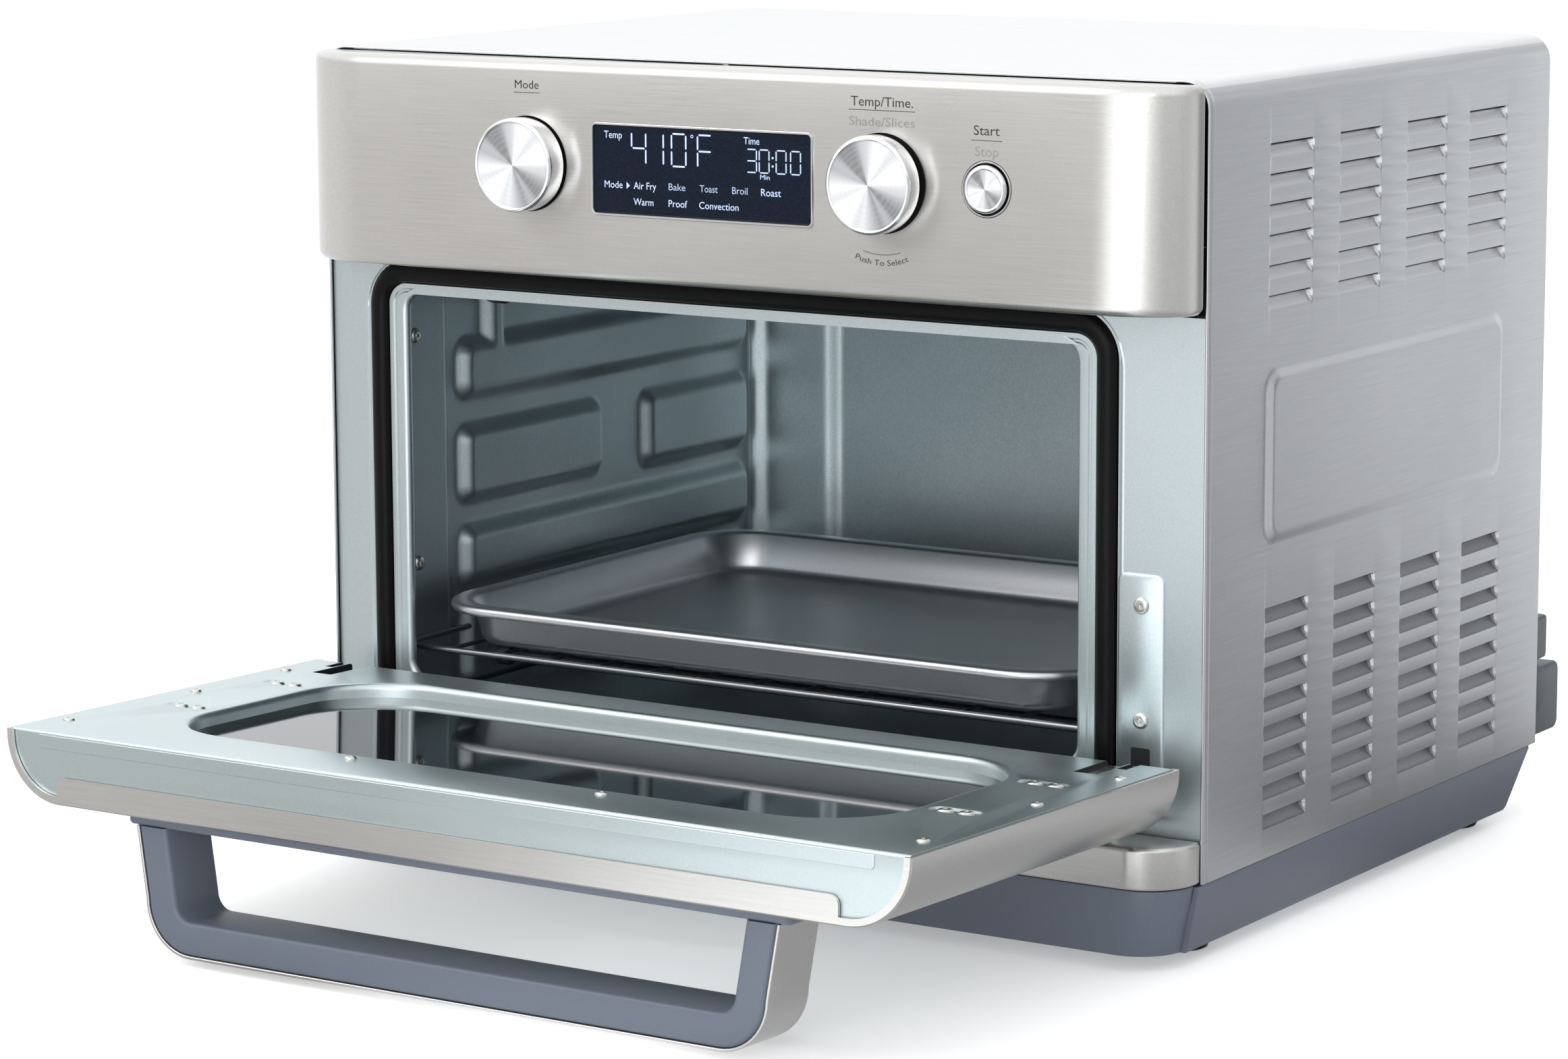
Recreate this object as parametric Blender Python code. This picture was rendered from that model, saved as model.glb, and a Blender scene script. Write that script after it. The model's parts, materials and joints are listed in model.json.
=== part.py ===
"""Countertop toaster oven with a drop-down glass door, two knobs, a push button, a display and a pan.

Every length is in metres. The datum is the middle of the cabinet's front edge at the bottom of its
steel wrapper; the root empty then puts the object's lowest point at Z = 0 and its middle at Y = 0.
The door is drawn closed and is hung from an empty on its hinge axis, which holds it open at rest.
"""

import math

import bmesh
import bpy
from mathutils import Matrix, Vector

GAP = 0.0003
ARC_STEPS = 6

# Datum
DATUM_Y = -0.07085
DATUM_Z = 0.0365

# Cabinet wrapper
CAB_HALF = 0.2285
CAB_DEPTH = 0.336
CAB_HEIGHT = 0.3354
CAB_BEND = 0.012
CAB_SHEET = 0.0012
EMBOSS_Y = (0.051, 0.289)
EMBOSS_Z = (0.1355, 0.2115)
EMBOSS_RISE = 0.0025
EMBOSS_BEVEL = 0.007
LOUVRE_Y = (0.054, 0.119, 0.185, 0.249)
LOUVRE_LENGTH = 0.0405
LOUVRE_SLOT = 0.0022
LOUVRE_PITCH = 0.0128
LOUVRE_TOP_Z = 0.306
LOUVRE_TOP_ROWS = 6
LOUVRE_LOW_Z = 0.109
LOUVRE_LOW_ROWS = 8

# Front frame, opening and gasket
FRAME_Y = 0.002
FRAME_SHEET = 0.0012
FRAME_HALF = 0.2268
FRAME_Z = (0.0008, 0.2385)
OPENING_X = (-0.1854, 0.1662)
OPENING_Z = (0.045, 0.2235)
OPENING_RADIUS = 0.008
GASKET_OUT_X = (-0.205, 0.1855)
GASKET_OUT_Z = (0.0265, 0.2380)
GASKET_RADIUS = 0.020
GASKET_WIDTH = 0.0096
GASKET_Y = (-0.0014, 0.0017)

# Cavity
CAVITY_X = (-0.205, 0.1858)
CAVITY_Z = (0.023, 0.227)
CAVITY_Y = (0.0036, 0.3210)
CAVITY_SHEET = 0.001
GUIDE_DEPTH = 0.006
GUIDE_HEIGHT = 0.0048
GUIDE_Y = (0.020, 0.285)
GUIDE_Z = (0.050, 0.107, 0.157)
ELEMENT_RADIUS = 0.0032
ELEMENT_TOP_Z = 0.214
ELEMENT_LOW_Z = 0.040
ELEMENT_Y = (0.090, 0.215)

# Rack, pan and crumb tray
RACK_X = (-0.2035, 0.1843)
RACK_Y = (0.014, 0.285)
RACK_Z = (0.0552, 0.0582)
RACK_RAIL = 0.005
RACK_WIRE = 0.003
RACK_SLOTS = 13
PAN_X = (-0.1835, 0.1615)
PAN_DEPTH = 0.2545
PAN_FRONT_Y = 0.006
PAN_Z = (0.0595, 0.0800)
PAN_RADIUS = 0.036
PAN_RIM = 0.009
PAN_DRAFT = 0.005
PAN_WALL = 0.0011
PAN_RIM_DROP = 0.0045
CRUMB_Y = (0.012, 0.290)
CRUMB_Z = (0.0235, 0.0290)

# Control panel
PANEL_HALF = 0.2272
PANEL_FRONT_Y = -0.026
PANEL_BACK_Y = -0.0003
PANEL_RADIUS = 0.0255
PANEL_Z = (0.2393, 0.3336)
PANEL_WALL = 0.002
DISPLAY_X = (-0.0612, 0.0537)
DISPLAY_Z = (0.2683, 0.3088)
BEZEL_WIDTH = 0.0028
MODE_X = -0.0955
TEMP_X = 0.0875
START_X = 0.1384
CONTROL_Z = 0.2890
SHAFT_RADIUS = 0.003
MODE_RADIUS = 0.0207
TEMP_RADIUS = 0.0209
MODE_LENGTH = 0.0115
TEMP_LENGTH = 0.0095
KNOB_CROWN = 0.003
PUSH_TRAVEL = 0.002
START_RADIUS = 0.0102
START_HOLE = 0.0118

# Base
TRIM_Z = (0.0004, 0.0182)
SKIRT_Z = (-0.0295, -0.0002)
SKIRT_FRONT_Y = -0.0245
SKIRT_WALL = 0.0025
SKIRT_DRAFT = 0.006
BASE_HALF = 0.2185
FOOT_RADIUS = 0.011
FOOT_X = 0.203
FOOT_Y = (0.032, 0.302)
FOOT_BOTTOM = -0.0365

# Rear
REAR_Y = 0.3300
SPACER_BACK_Y = 0.3720
BUMPER_BACK_Y = 0.3575

# Door, closed
HINGE_Y = -0.0244
HINGE_Z = 0.0316
DOOR_OPEN = math.radians(88.5)
DOOR_HALF = 0.2265
DOOR_FRONT_Y = -0.034
DOOR_INNER_Y = -0.003
DOOR_Z = (0.0243, 0.2373)
DOOR_RADIUS = 0.029
DOOR_SKIN = 0.0015
DOOR_LIP_Y = -0.026
INNER_SHEET = 0.0012
WINDOW_X = 0.178
WINDOW_Z = (0.054, 0.199)
WINDOW_RADIUS = 0.040
OUTER_WINDOW_X = 0.160
OUTER_WINDOW_Z = (0.048, 0.184)
LUG_X = (0.2060, 0.2085)
LUG_HALF = 0.0046
PIN_RADIUS = 0.0026
KNUCKLE_X = (0.191, 0.200)

# Handle, on the closed door
HANDLE_Z = (0.1985, 0.2285)
HANDLE_BASE_HALF = 0.167
HANDLE_BASE = 0.005
HANDLE_HALF = 0.1605
HANDLE_TAPER = 0.005
HANDLE_REACH = 0.0585
HANDLE_RADIUS = 0.022
HANDLE_THICK = 0.0145
BAND_SHEET = 0.0012

MATERIALS = {}
ROOT = None
DOOR = None


def clear_scene():
    for obj in list(bpy.data.objects):
        bpy.data.objects.remove(obj, do_unlink=True)


def material(name, colour, metallic, roughness):
    made = bpy.data.materials.new(name)
    made.use_nodes = True
    shader = made.node_tree.nodes["Principled BSDF"]
    shader.inputs["Base Color"].default_value = (*colour, 1.0)
    shader.inputs["Metallic"].default_value = metallic
    shader.inputs["Roughness"].default_value = roughness
    MATERIALS[name] = made


def make_materials():
    material("brushed_stainless", (0.62, 0.60, 0.57), 1.0, 0.32)
    material("aluminised_steel", (0.50, 0.56, 0.58), 1.0, 0.42)
    material("slate_plastic", (0.10, 0.12, 0.15), 0.0, 0.45)
    material("black_rubber", (0.015, 0.015, 0.015), 0.0, 0.8)
    material("black_gloss", (0.01, 0.012, 0.02), 0.0, 0.08)
    material("clear_glass", (0.05, 0.06, 0.07), 0.0, 0.05)
    material("chrome", (0.80, 0.80, 0.80), 1.0, 0.10)
    material("spun_aluminium", (0.72, 0.72, 0.72), 1.0, 0.25)
    material("satin_pan", (0.62, 0.62, 0.64), 1.0, 0.38)
    material("element_sheath", (0.20, 0.20, 0.21), 1.0, 0.5)
    material("circuit_board", (0.03, 0.16, 0.07), 0.0, 0.5)
    material("black_plastic", (0.02, 0.02, 0.02), 0.0, 0.5)


def finish(name, mesh_data, colour, place=(0, 0, 0), parent=None, smooth=False):
    bmesh.ops.recalc_face_normals(mesh_data, faces=mesh_data.faces)
    mesh = bpy.data.meshes.new(name)
    mesh_data.to_mesh(mesh)
    mesh_data.free()
    obj = bpy.data.objects.new(name, mesh)
    bpy.context.scene.collection.objects.link(obj)
    obj.location = place
    obj.parent = parent or ROOT
    if colour:
        mesh.materials.append(MATERIALS[colour])
    for face in mesh.polygons:
        face.use_smooth = smooth
    return obj


def loft_into(mesh_data, loops, cap=True):
    """Joins loops of equally many points with quads, and closes both ends or the first to the last."""
    rings = [[mesh_data.verts.new(point) for point in loop] for loop in loops]
    count = len(rings[0])
    pairs = list(zip(rings, rings[1:]))
    if not cap:
        pairs.append((rings[-1], rings[0]))
    for low, high in pairs:
        for i in range(count):
            j = (i + 1) % count
            mesh_data.faces.new((low[i], low[j], high[j], high[i]))
    if cap:
        mesh_data.faces.new(rings[0])
        mesh_data.faces.new(rings[-1])


def lift(outline, axis, height):
    """Puts a flat outline at a height along an axis: X takes (y, z), Y takes (x, z), Z takes (x, y)."""
    if axis == "X":
        return [(height, a, b) for a, b in outline]
    if axis == "Y":
        return [(a, height, b) for a, b in outline]
    return [(a, b, height) for a, b in outline]


def prism_into(mesh_data, outline, axis, start, end):
    loft_into(mesh_data, [lift(outline, axis, start), lift(outline, axis, end)])


def prism(name, outline, axis, start, end, colour, parent=None):
    data = bmesh.new()
    prism_into(data, outline, axis, start, end)
    return finish(name, data, colour, parent=parent)


def ring_prism(name, outer, inner, axis, start, end, colour, parent=None):
    """A flat ring between two outlines of equally many points."""
    data = bmesh.new()
    loops = [
        lift(outer, axis, start),
        lift(outer, axis, end),
        lift(inner, axis, end),
        lift(inner, axis, start),
    ]
    loft_into(data, loops, cap=False)
    return finish(name, data, colour, parent=parent)


def rectangle(x, z):
    return [(x[0], z[0]), (x[1], z[0]), (x[1], z[1]), (x[0], z[1])]


def arc(centre, radius, start, end, steps=ARC_STEPS):
    """Points on a circular arc, with its angles in degrees."""
    points = []
    for i in range(steps + 1):
        angle = math.radians(start + (end - start) * i / steps)
        points.append((centre[0] + radius * math.cos(angle), centre[1] + radius * math.sin(angle)))
    return points


def rounded(x, z, radius, steps=ARC_STEPS):
    low_x, high_x = x[0] + radius, x[1] - radius
    low_z, high_z = z[0] + radius, z[1] - radius
    return (
        arc((high_x, low_z), radius, -90, 0, steps)
        + arc((high_x, high_z), radius, 0, 90, steps)
        + arc((low_x, high_z), radius, 90, 180, steps)
        + arc((low_x, low_z), radius, 180, 270, steps)
    )


def inset(span, amount):
    return (span[0] + amount, span[1] - amount)


def box_into(mesh_data, x, y, z):
    prism_into(mesh_data, rectangle(x, z), "Y", y[0], y[1])


def box(name, x, y, z, colour, parent=None):
    centre = Vector(((x[0] + x[1]) / 2, (y[0] + y[1]) / 2, (z[0] + z[1]) / 2))
    data = bmesh.new()
    box_into(data, x, y, z)
    bmesh.ops.translate(data, verts=data.verts, vec=-centre)
    return finish(name, data, colour, place=centre, parent=parent)


def revolve_into(mesh_data, profile, steps):
    """Turns (radius, height) points round Z. The profile starts and ends on the axis, or is a loop."""
    rings = []
    for radius, height in profile:
        if radius == 0:
            rings.append([mesh_data.verts.new((0, 0, height))])
            continue
        turn = [2 * math.pi * i / steps for i in range(steps)]
        points = [(radius * math.cos(a), radius * math.sin(a), height) for a in turn]
        rings.append([mesh_data.verts.new(point) for point in points])
    closed = profile[0][0] != 0
    pairs = list(zip(rings, rings[1:]))
    if closed:
        pairs.append((rings[-1], rings[0]))
    for low, high in pairs:
        for i in range(steps):
            j = (i + 1) % steps
            corners = [low[i % len(low)], low[j % len(low)], high[j % len(high)], high[i % len(high)]]
            mesh_data.faces.new(list(dict.fromkeys(corners)))


def turned(name, profile, colour, place, facing="Z", parent=None, steps=40):
    """A turned piece. Facing -Y, X or Z is the way that its heights run."""
    data = bmesh.new()
    revolve_into(data, profile, steps)
    if facing == "-Y":
        bmesh.ops.rotate(data, verts=data.verts, matrix=Matrix.Rotation(math.pi / 2, 3, "X"))
    if facing == "X":
        bmesh.ops.rotate(data, verts=data.verts, matrix=Matrix.Rotation(math.pi / 2, 3, "Y"))
    return finish(name, data, colour, place=place, parent=parent, smooth=True)


def cutter(obj, data, operation="DIFFERENCE"):
    """Adds a Boolean that uses the given mesh, which shares the object's own parent and place."""
    tool = finish(f"{obj.name}_cutter_{len(obj.modifiers)}", data, None, parent=obj.parent)
    tool.hide_render = True
    tool.display_type = "WIRE"
    change = obj.modifiers.new(f"cut_{len(obj.modifiers)}", "BOOLEAN")
    change.operation = operation
    change.solver = "EXACT"
    change.object = tool


def cylinder_into(mesh_data, centre, radius, axis, start, end, steps=32):
    points = []
    for i in range(steps):
        angle = 2 * math.pi * i / steps
        points.append((centre[0] + radius * math.cos(angle), centre[1] + radius * math.sin(angle)))
    prism_into(mesh_data, points, axis, start, end)


def sheet_strip(outer, inner, axis, start, end):
    """A bent sheet: the space between two open paths of equally many points, drawn out along an axis."""
    data = bmesh.new()
    sides = []
    for height in (start, end):
        row = [data.verts.new(p) for p in lift(outer, axis, height)]
        back = [data.verts.new(p) for p in lift(inner, axis, height)]
        sides.append((row, back))
    (near_out, near_in), (far_out, far_in) = sides
    last = len(outer) - 1
    for i in range(last):
        data.faces.new((near_out[i], near_out[i + 1], near_in[i + 1], near_in[i]))
        data.faces.new((far_out[i], far_out[i + 1], far_in[i + 1], far_in[i]))
        data.faces.new((near_out[i], near_out[i + 1], far_out[i + 1], far_out[i]))
        data.faces.new((near_in[i], near_in[i + 1], far_in[i + 1], far_in[i]))
    for i in (0, last):
        data.faces.new((near_out[i], near_in[i], far_in[i], far_out[i]))
    return data


def arch(half, top, radius, thick):
    """The wrapper's section as an outer and an inner path, from the left foot to the right foot."""
    paths = []
    for less in (0, thick):
        side, height, bend = half - less, top - less, radius - less
        paths.append(
            [(-side, 0)]
            + arc((-side + bend, height - bend), bend, 180, 90)
            + arc((side - bend, height - bend), bend, 90, 0)
            + [(side, 0)]
        )
    return paths


def emboss_into(data, side, base, height, shrink):
    """One pressed pad on a side wall, as a frustum that narrows outwards."""
    y, z = inset(EMBOSS_Y, shrink), inset(EMBOSS_Z, shrink)
    slope = EMBOSS_BEVEL
    loops = [
        lift(rectangle(y, z), "X", side * base),
        lift(rectangle(inset(y, slope), inset(z, slope)), "X", side * height),
    ]
    loft_into(data, loops)


def louvre_rows():
    rows = [(LOUVRE_TOP_Z, LOUVRE_TOP_ROWS), (LOUVRE_LOW_Z, LOUVRE_LOW_ROWS)]
    return [top - i * LOUVRE_PITCH for top, count in rows for i in range(count)]


def make_wrapper():
    outer, inner = arch(CAB_HALF, CAB_HEIGHT, CAB_BEND, CAB_SHEET)
    wrapper = finish(
        "outer_wrapper", sheet_strip(outer, inner, "Y", 0, CAB_DEPTH), "brushed_stainless"
    )
    rise = CAB_HALF + EMBOSS_RISE
    pads = bmesh.new()
    hollows = bmesh.new()
    slots = bmesh.new()
    for side in (-1, 1):
        emboss_into(pads, side, CAB_HALF - CAB_SHEET / 2, rise, 0)
        emboss_into(hollows, side, CAB_HALF - 2 * CAB_SHEET, rise - CAB_SHEET, CAB_SHEET)
        walls = sorted((side * (CAB_HALF - 3 * CAB_SHEET), side * (CAB_HALF + CAB_SHEET)))
        for y in LOUVRE_Y:
            for z in louvre_rows():
                box_into(slots, walls, (y, y + LOUVRE_LENGTH), (z - LOUVRE_SLOT, z))
    cutter(wrapper, pads, "UNION")
    cutter(wrapper, hollows)
    cutter(wrapper, slots)


def make_front_frame():
    outer = rounded((-FRAME_HALF, FRAME_HALF), FRAME_Z, 0.002)
    opening = rounded(OPENING_X, OPENING_Z, OPENING_RADIUS)
    span = (FRAME_Y, FRAME_Y + FRAME_SHEET)
    ring_prism("front_frame", outer, opening, "Y", *span, "aluminised_steel")
    out = rounded(GASKET_OUT_X, GASKET_OUT_Z, GASKET_RADIUS)
    inner_radius = GASKET_RADIUS - GASKET_WIDTH
    inner = rounded(
        inset(GASKET_OUT_X, GASKET_WIDTH), inset(GASKET_OUT_Z, GASKET_WIDTH), inner_radius
    )
    ring_prism("door_gasket", out, inner, "Y", *GASKET_Y, "black_rubber")


def make_side_wall(name, inside, side):
    """A cavity side wall with its shelf guides. Side is the way out of the cavity."""
    wall = sorted((inside, inside + side * CAVITY_SHEET))
    z = (CAVITY_Z[0] - CAVITY_SHEET, CAVITY_Z[1] + CAVITY_SHEET)
    data = bmesh.new()
    box_into(data, wall, CAVITY_Y, z)
    obj = finish(name, data, "aluminised_steel")
    guides = bmesh.new()
    reach = sorted((inside + side * CAVITY_SHEET / 2, inside - side * GUIDE_DEPTH))
    for low in GUIDE_Z:
        box_into(guides, reach, GUIDE_Y, (low, low + GUIDE_HEIGHT))
    cutter(obj, guides, "UNION")


def make_cavity():
    make_side_wall("cavity_wall_left", CAVITY_X[0], -1)
    make_side_wall("cavity_wall_right", CAVITY_X[1], 1)
    across = inset(CAVITY_X, GAP)
    top = (CAVITY_Z[1], CAVITY_Z[1] + CAVITY_SHEET)
    box("cavity_ceiling", across, CAVITY_Y, top, "aluminised_steel")
    floor = (CAVITY_Z[0] - CAVITY_SHEET, CAVITY_Z[0])
    box("cavity_floor", across, CAVITY_Y, floor, "aluminised_steel")
    back = (CAVITY_Y[1] + GAP, CAVITY_Y[1] + GAP + CAVITY_SHEET)
    wide = (CAVITY_X[0] - CAVITY_SHEET, CAVITY_X[1] + CAVITY_SHEET)
    tall = (CAVITY_Z[0] - CAVITY_SHEET, CAVITY_Z[1] + CAVITY_SHEET)
    box("cavity_back", wide, back, tall, "aluminised_steel")


def make_elements():
    length = CAVITY_X[1] - CAVITY_X[0] - 4 * GAP
    half = length / 2
    middle = (CAVITY_X[0] + CAVITY_X[1]) / 2
    end = 0.012
    cap = ELEMENT_RADIUS + 0.0018
    profile = [
        (0, -half),
        (cap, -half),
        (cap, -half + end),
        (ELEMENT_RADIUS, -half + end),
        (ELEMENT_RADIUS, half - end),
        (cap, half - end),
        (cap, half),
        (0, half),
    ]
    for level, z in (("top", ELEMENT_TOP_Z), ("bottom", ELEMENT_LOW_Z)):
        for place, y in zip(("front", "rear"), ELEMENT_Y):
            name = f"element_{level}_{place}"
            turned(name, profile, "element_sheath", (middle, y, z), "X", steps=24)


def make_sensor():
    tip = -0.015
    profile = [(0, tip), (0.002, tip), (0.002, -GAP), (0, -GAP)]
    place = (CAVITY_X[1], 0.150, 0.200)
    turned("temperature_probe", profile, "chrome", place, "X", steps=16)


def make_rack():
    data = bmesh.new()
    box_into(data, RACK_X, RACK_Y, RACK_Z)
    rack = finish("wire_rack", data, "chrome")
    slots = bmesh.new()
    low, high = inset(RACK_X, RACK_RAIL)
    pitch = (high - low + RACK_WIRE) / RACK_SLOTS
    for i in range(RACK_SLOTS):
        start = low + i * pitch
        box_into(slots, (start, start + pitch - RACK_WIRE), inset(RACK_Y, RACK_RAIL), (0.05, 0.065))
    cutter(rack, slots)


def make_crumb_tray():
    x = inset(CAVITY_X, 0.004)
    wall = 0.0008
    outer = rounded(x, CRUMB_Y, 0.006)
    inner = rounded(inset(x, wall), inset(CRUMB_Y, wall), 0.006 - wall)
    low, high = CRUMB_Z
    data = bmesh.new()
    loops = [lift(outer, "Z", low), lift(outer, "Z", high), lift(inner, "Z", high)]
    loops.append(lift(inner, "Z", low + wall))
    loft_into(data, loops)
    finish("crumb_tray", data, "aluminised_steel")


def make_pan():
    """A shallow pan with drafted walls and a turned-down rim, pushed fully in."""
    front, back = PAN_FRONT_Y, PAN_FRONT_Y + PAN_DEPTH
    middle = Vector(((PAN_X[0] + PAN_X[1]) / 2, (front + back) / 2, 0))
    x = (PAN_X[0] - middle.x, PAN_X[1] - middle.x)
    y = (front - middle.y, back - middle.y)
    low, high = PAN_Z

    def level(less, z):
        return lift(rounded(inset(x, less), inset(y, less), PAN_RADIUS - less, 10), "Z", z)

    wall_top = PAN_RIM
    wall_low = PAN_RIM + PAN_DRAFT
    fillet = 0.004
    loops = [
        level(wall_low + fillet, low),
        level(wall_low + 0.0012, low + 0.0012),
        level(wall_low, low + fillet),
        level(wall_top, high - PAN_WALL),
        level(PAN_WALL, high - PAN_WALL),
        level(PAN_WALL, high - PAN_RIM_DROP),
        level(0, high - PAN_RIM_DROP),
        level(0, high),
        level(wall_top + PAN_WALL, high),
        level(wall_low + PAN_WALL, low + fillet),
        level(wall_low + PAN_WALL + 0.0012, low + PAN_WALL + 0.0012),
        level(wall_low + fillet + PAN_WALL, low + PAN_WALL),
    ]
    data = bmesh.new()
    loft_into(data, loops)
    finish("baking_pan", data, "satin_pan", place=middle)


def bowed(half, front, back, radius, clamp=None):
    """A plan outline with a flat front and round front corners, cut off at clamp if it is given."""
    points = [(half, back)]
    points += reversed(arc((half - radius, front + radius), radius, -90, 0, 8))
    points += reversed(arc((-half + radius, front + radius), radius, 180, 270, 8))
    points.append((-half, back))
    if clamp is None:
        return points
    crossing = math.sqrt(radius**2 - (front + radius - clamp) ** 2)
    kept = [p for p in points if p[1] > clamp + 1e-5]
    right = [p for p in kept if p[0] > 0]
    left = [p for p in kept if p[0] < 0]
    edge = half - radius + crossing
    return right + [(edge, clamp), (-edge, clamp)] + left


def make_control_panel():
    outline = bowed(PANEL_HALF, PANEL_FRONT_Y, PANEL_BACK_Y, PANEL_RADIUS)
    panel = prism("control_panel", outline, "Z", *PANEL_Z, "brushed_stainless")
    hollow = bmesh.new()
    inside = bowed(
        PANEL_HALF - PANEL_WALL,
        PANEL_FRONT_Y + PANEL_WALL,
        0.01,
        PANEL_RADIUS - PANEL_WALL,
    )
    prism_into(hollow, inside, "Z", *inset(PANEL_Z, PANEL_WALL))
    cutter(panel, hollow)
    holes = bmesh.new()
    through = (PANEL_FRONT_Y - 0.004, PANEL_FRONT_Y + 0.006)
    display = (inset(DISPLAY_X, -GAP), inset(DISPLAY_Z, -GAP))
    prism_into(holes, rounded(*display, 0.002), "Y", *through)
    cylinder_into(holes, (MODE_X, CONTROL_Z), SHAFT_RADIUS + GAP, "Y", *through)
    cylinder_into(holes, (TEMP_X, CONTROL_Z), SHAFT_RADIUS + GAP, "Y", *through)
    cylinder_into(holes, (START_X, CONTROL_Z), START_HOLE + GAP, "Y", *through)
    cutter(panel, holes)


def make_display():
    outer = rounded(DISPLAY_X, DISPLAY_Z, 0.0018)
    lens_x = inset(DISPLAY_X, BEZEL_WIDTH)
    lens_z = inset(DISPLAY_Z, BEZEL_WIDTH)
    inner = rounded(lens_x, lens_z, 0.001)
    front = PANEL_FRONT_Y - 0.001
    ring_prism("display_bezel", outer, inner, "Y", front, front + 0.004, "chrome")
    lens_y = (front + 0.0006, front + 0.0026)
    box("display_lens", inset(lens_x, GAP), lens_y, inset(lens_z, GAP), "black_gloss")
    module_y = (front + 0.0046, -0.010)
    module_x, module_z = inset(DISPLAY_X, -0.002), inset(DISPLAY_Z, -0.002)
    box("display_module", module_x, module_y, module_z, "black_plastic")
    box("control_board", (-0.150, 0.165), (-0.0090, -0.0074), (0.250, 0.322), "circuit_board")


def knob_profile(radius, length, bore):
    """A knob in (radius, height) points, with its back at 0 and a blind bore for the shaft."""
    rim = 0.0018
    lip = 0.0008
    return [
        (0, length - lip),
        (radius - rim - 0.001, length - lip),
        (radius - rim, length),
        (radius - lip, length),
        (radius, length - lip),
        (radius, 0.0),
        (bore, 0.0),
        (bore, length - KNOB_CROWN),
        (0, length - KNOB_CROWN),
    ]


def make_encoder(name, x):
    """The body of a rotary encoder, behind the panel."""
    half = 0.0065
    y = (PANEL_FRONT_Y + PANEL_WALL + GAP, -0.0093)
    outer = rounded((x - half, x + half), (CONTROL_Z - half, CONTROL_Z + half), half * 0.3, 9)
    hole = list(arc((x, CONTROL_Z), SHAFT_RADIUS + GAP, -81, 279, 40))[:-1]
    ring_prism(name, outer, hole, "Y", *y, "black_plastic")


def shaft_profile(depth, length):
    """A shaft from behind the panel to just short of the end of its knob's bore."""
    tip = length - KNOB_CROWN - 2 * GAP
    return [(0, -depth), (SHAFT_RADIUS, -depth), (SHAFT_RADIUS, tip), (0, tip)]


def make_knobs():
    bore = SHAFT_RADIUS + GAP
    back_y = PANEL_FRONT_Y - 0.0008
    mode_at = (MODE_X, back_y, CONTROL_Z)
    profile = knob_profile(MODE_RADIUS, MODE_LENGTH, bore)
    turned("mode_knob", profile, "spun_aluminium", mode_at, "-Y", steps=56)
    shaft = shaft_profile(0.016, MODE_LENGTH)
    turned("mode_shaft", shaft, "chrome", mode_at, "-Y", steps=24)
    temp_at = (TEMP_X, back_y - PUSH_TRAVEL, CONTROL_Z)
    profile = knob_profile(TEMP_RADIUS, TEMP_LENGTH, bore)
    turned("temperature_knob", profile, "spun_aluminium", temp_at, "-Y", steps=56)
    shaft = shaft_profile(0.0155, TEMP_LENGTH)
    turned("temperature_shaft", shaft, "chrome", temp_at, "-Y", steps=24)
    make_encoder("mode_encoder", MODE_X)
    make_encoder("temperature_encoder", TEMP_X)


def make_start_button():
    front = PANEL_FRONT_Y
    place = (START_X, front, CONTROL_Z)
    outer = START_HOLE
    inner = START_RADIUS + 0.0006
    ring = [(inner, -0.003), (outer, -0.003), (outer, 0.0006), (inner, 0.0006)]
    turned("start_ring", ring, "chrome", place, "-Y", steps=48)
    button = [(0, -0.006), (START_RADIUS, -0.006), (START_RADIUS, 0.0018)]
    button += [(START_RADIUS - 0.001, 0.0026), (0, 0.0022)]
    turned("start_button", button, "spun_aluminium", place, "-Y", steps=48)
    y = (front + 0.0085, -0.0093)
    x = (START_X - 0.005, START_X + 0.005)
    z = (CONTROL_Z - 0.005, CONTROL_Z + 0.005)
    box("start_switch", x, y, z, "black_plastic")


def make_electrics():
    x = (CAVITY_X[1] + 0.012, CAVITY_X[1] + 0.0136)
    box("power_board", x, (0.110, 0.230), (0.060, 0.180), "circuit_board")
    relay = (x[1] + GAP, x[1] + 0.016)
    box("relay_block", relay, (0.140, 0.168), (0.110, 0.126), "black_plastic")


def make_base():
    trim = bowed(PANEL_HALF, PANEL_FRONT_Y, PANEL_BACK_Y, PANEL_RADIUS)
    inner = bowed(
        PANEL_HALF - PANEL_WALL,
        PANEL_FRONT_Y + PANEL_WALL,
        PANEL_BACK_Y,
        PANEL_RADIUS - PANEL_WALL,
    )
    data = sheet_strip(trim, inner, "Z", *TRIM_Z)
    finish("lower_trim", data, "brushed_stainless")
    half = PANEL_HALF - 0.0012
    skirt = bowed(half, SKIRT_FRONT_Y, -0.003, 0.021)
    inner = bowed(half - SKIRT_WALL, SKIRT_FRONT_Y + SKIRT_WALL, -0.003, 0.021 - SKIRT_WALL)
    data = sheet_strip(skirt, inner, "Z", *SKIRT_Z)
    finish("skirt_front", data, "slate_plastic")
    for side, name in ((-1, "left"), (1, "right")):
        make_side_skirt(f"skirt_{name}", side)
    floor = (-0.0030, -0.0018)
    box("chassis_floor", (-0.2225, 0.2225), (0.001, 0.329), floor, "aluminised_steel")
    tray = (SKIRT_Z[0] + 0.0002, SKIRT_Z[0] + 0.0022)
    box("base_tray", (-BASE_HALF, BASE_HALF), (0.000, 0.314), tray, "slate_plastic")
    foot = [(0, FOOT_BOTTOM), (FOOT_RADIUS - 0.0025, FOOT_BOTTOM), (FOOT_RADIUS, FOOT_BOTTOM + 0.002)]
    foot += [(FOOT_RADIUS, SKIRT_Z[0] - 0.0001), (0, SKIRT_Z[0] - 0.0001)]
    for x, side in ((-FOOT_X, "left"), (FOOT_X, "right")):
        for y, end in zip(FOOT_Y, ("front", "rear")):
            turned(f"foot_{end}_{side}", foot, "black_rubber", (x, y, 0), steps=32)


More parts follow.
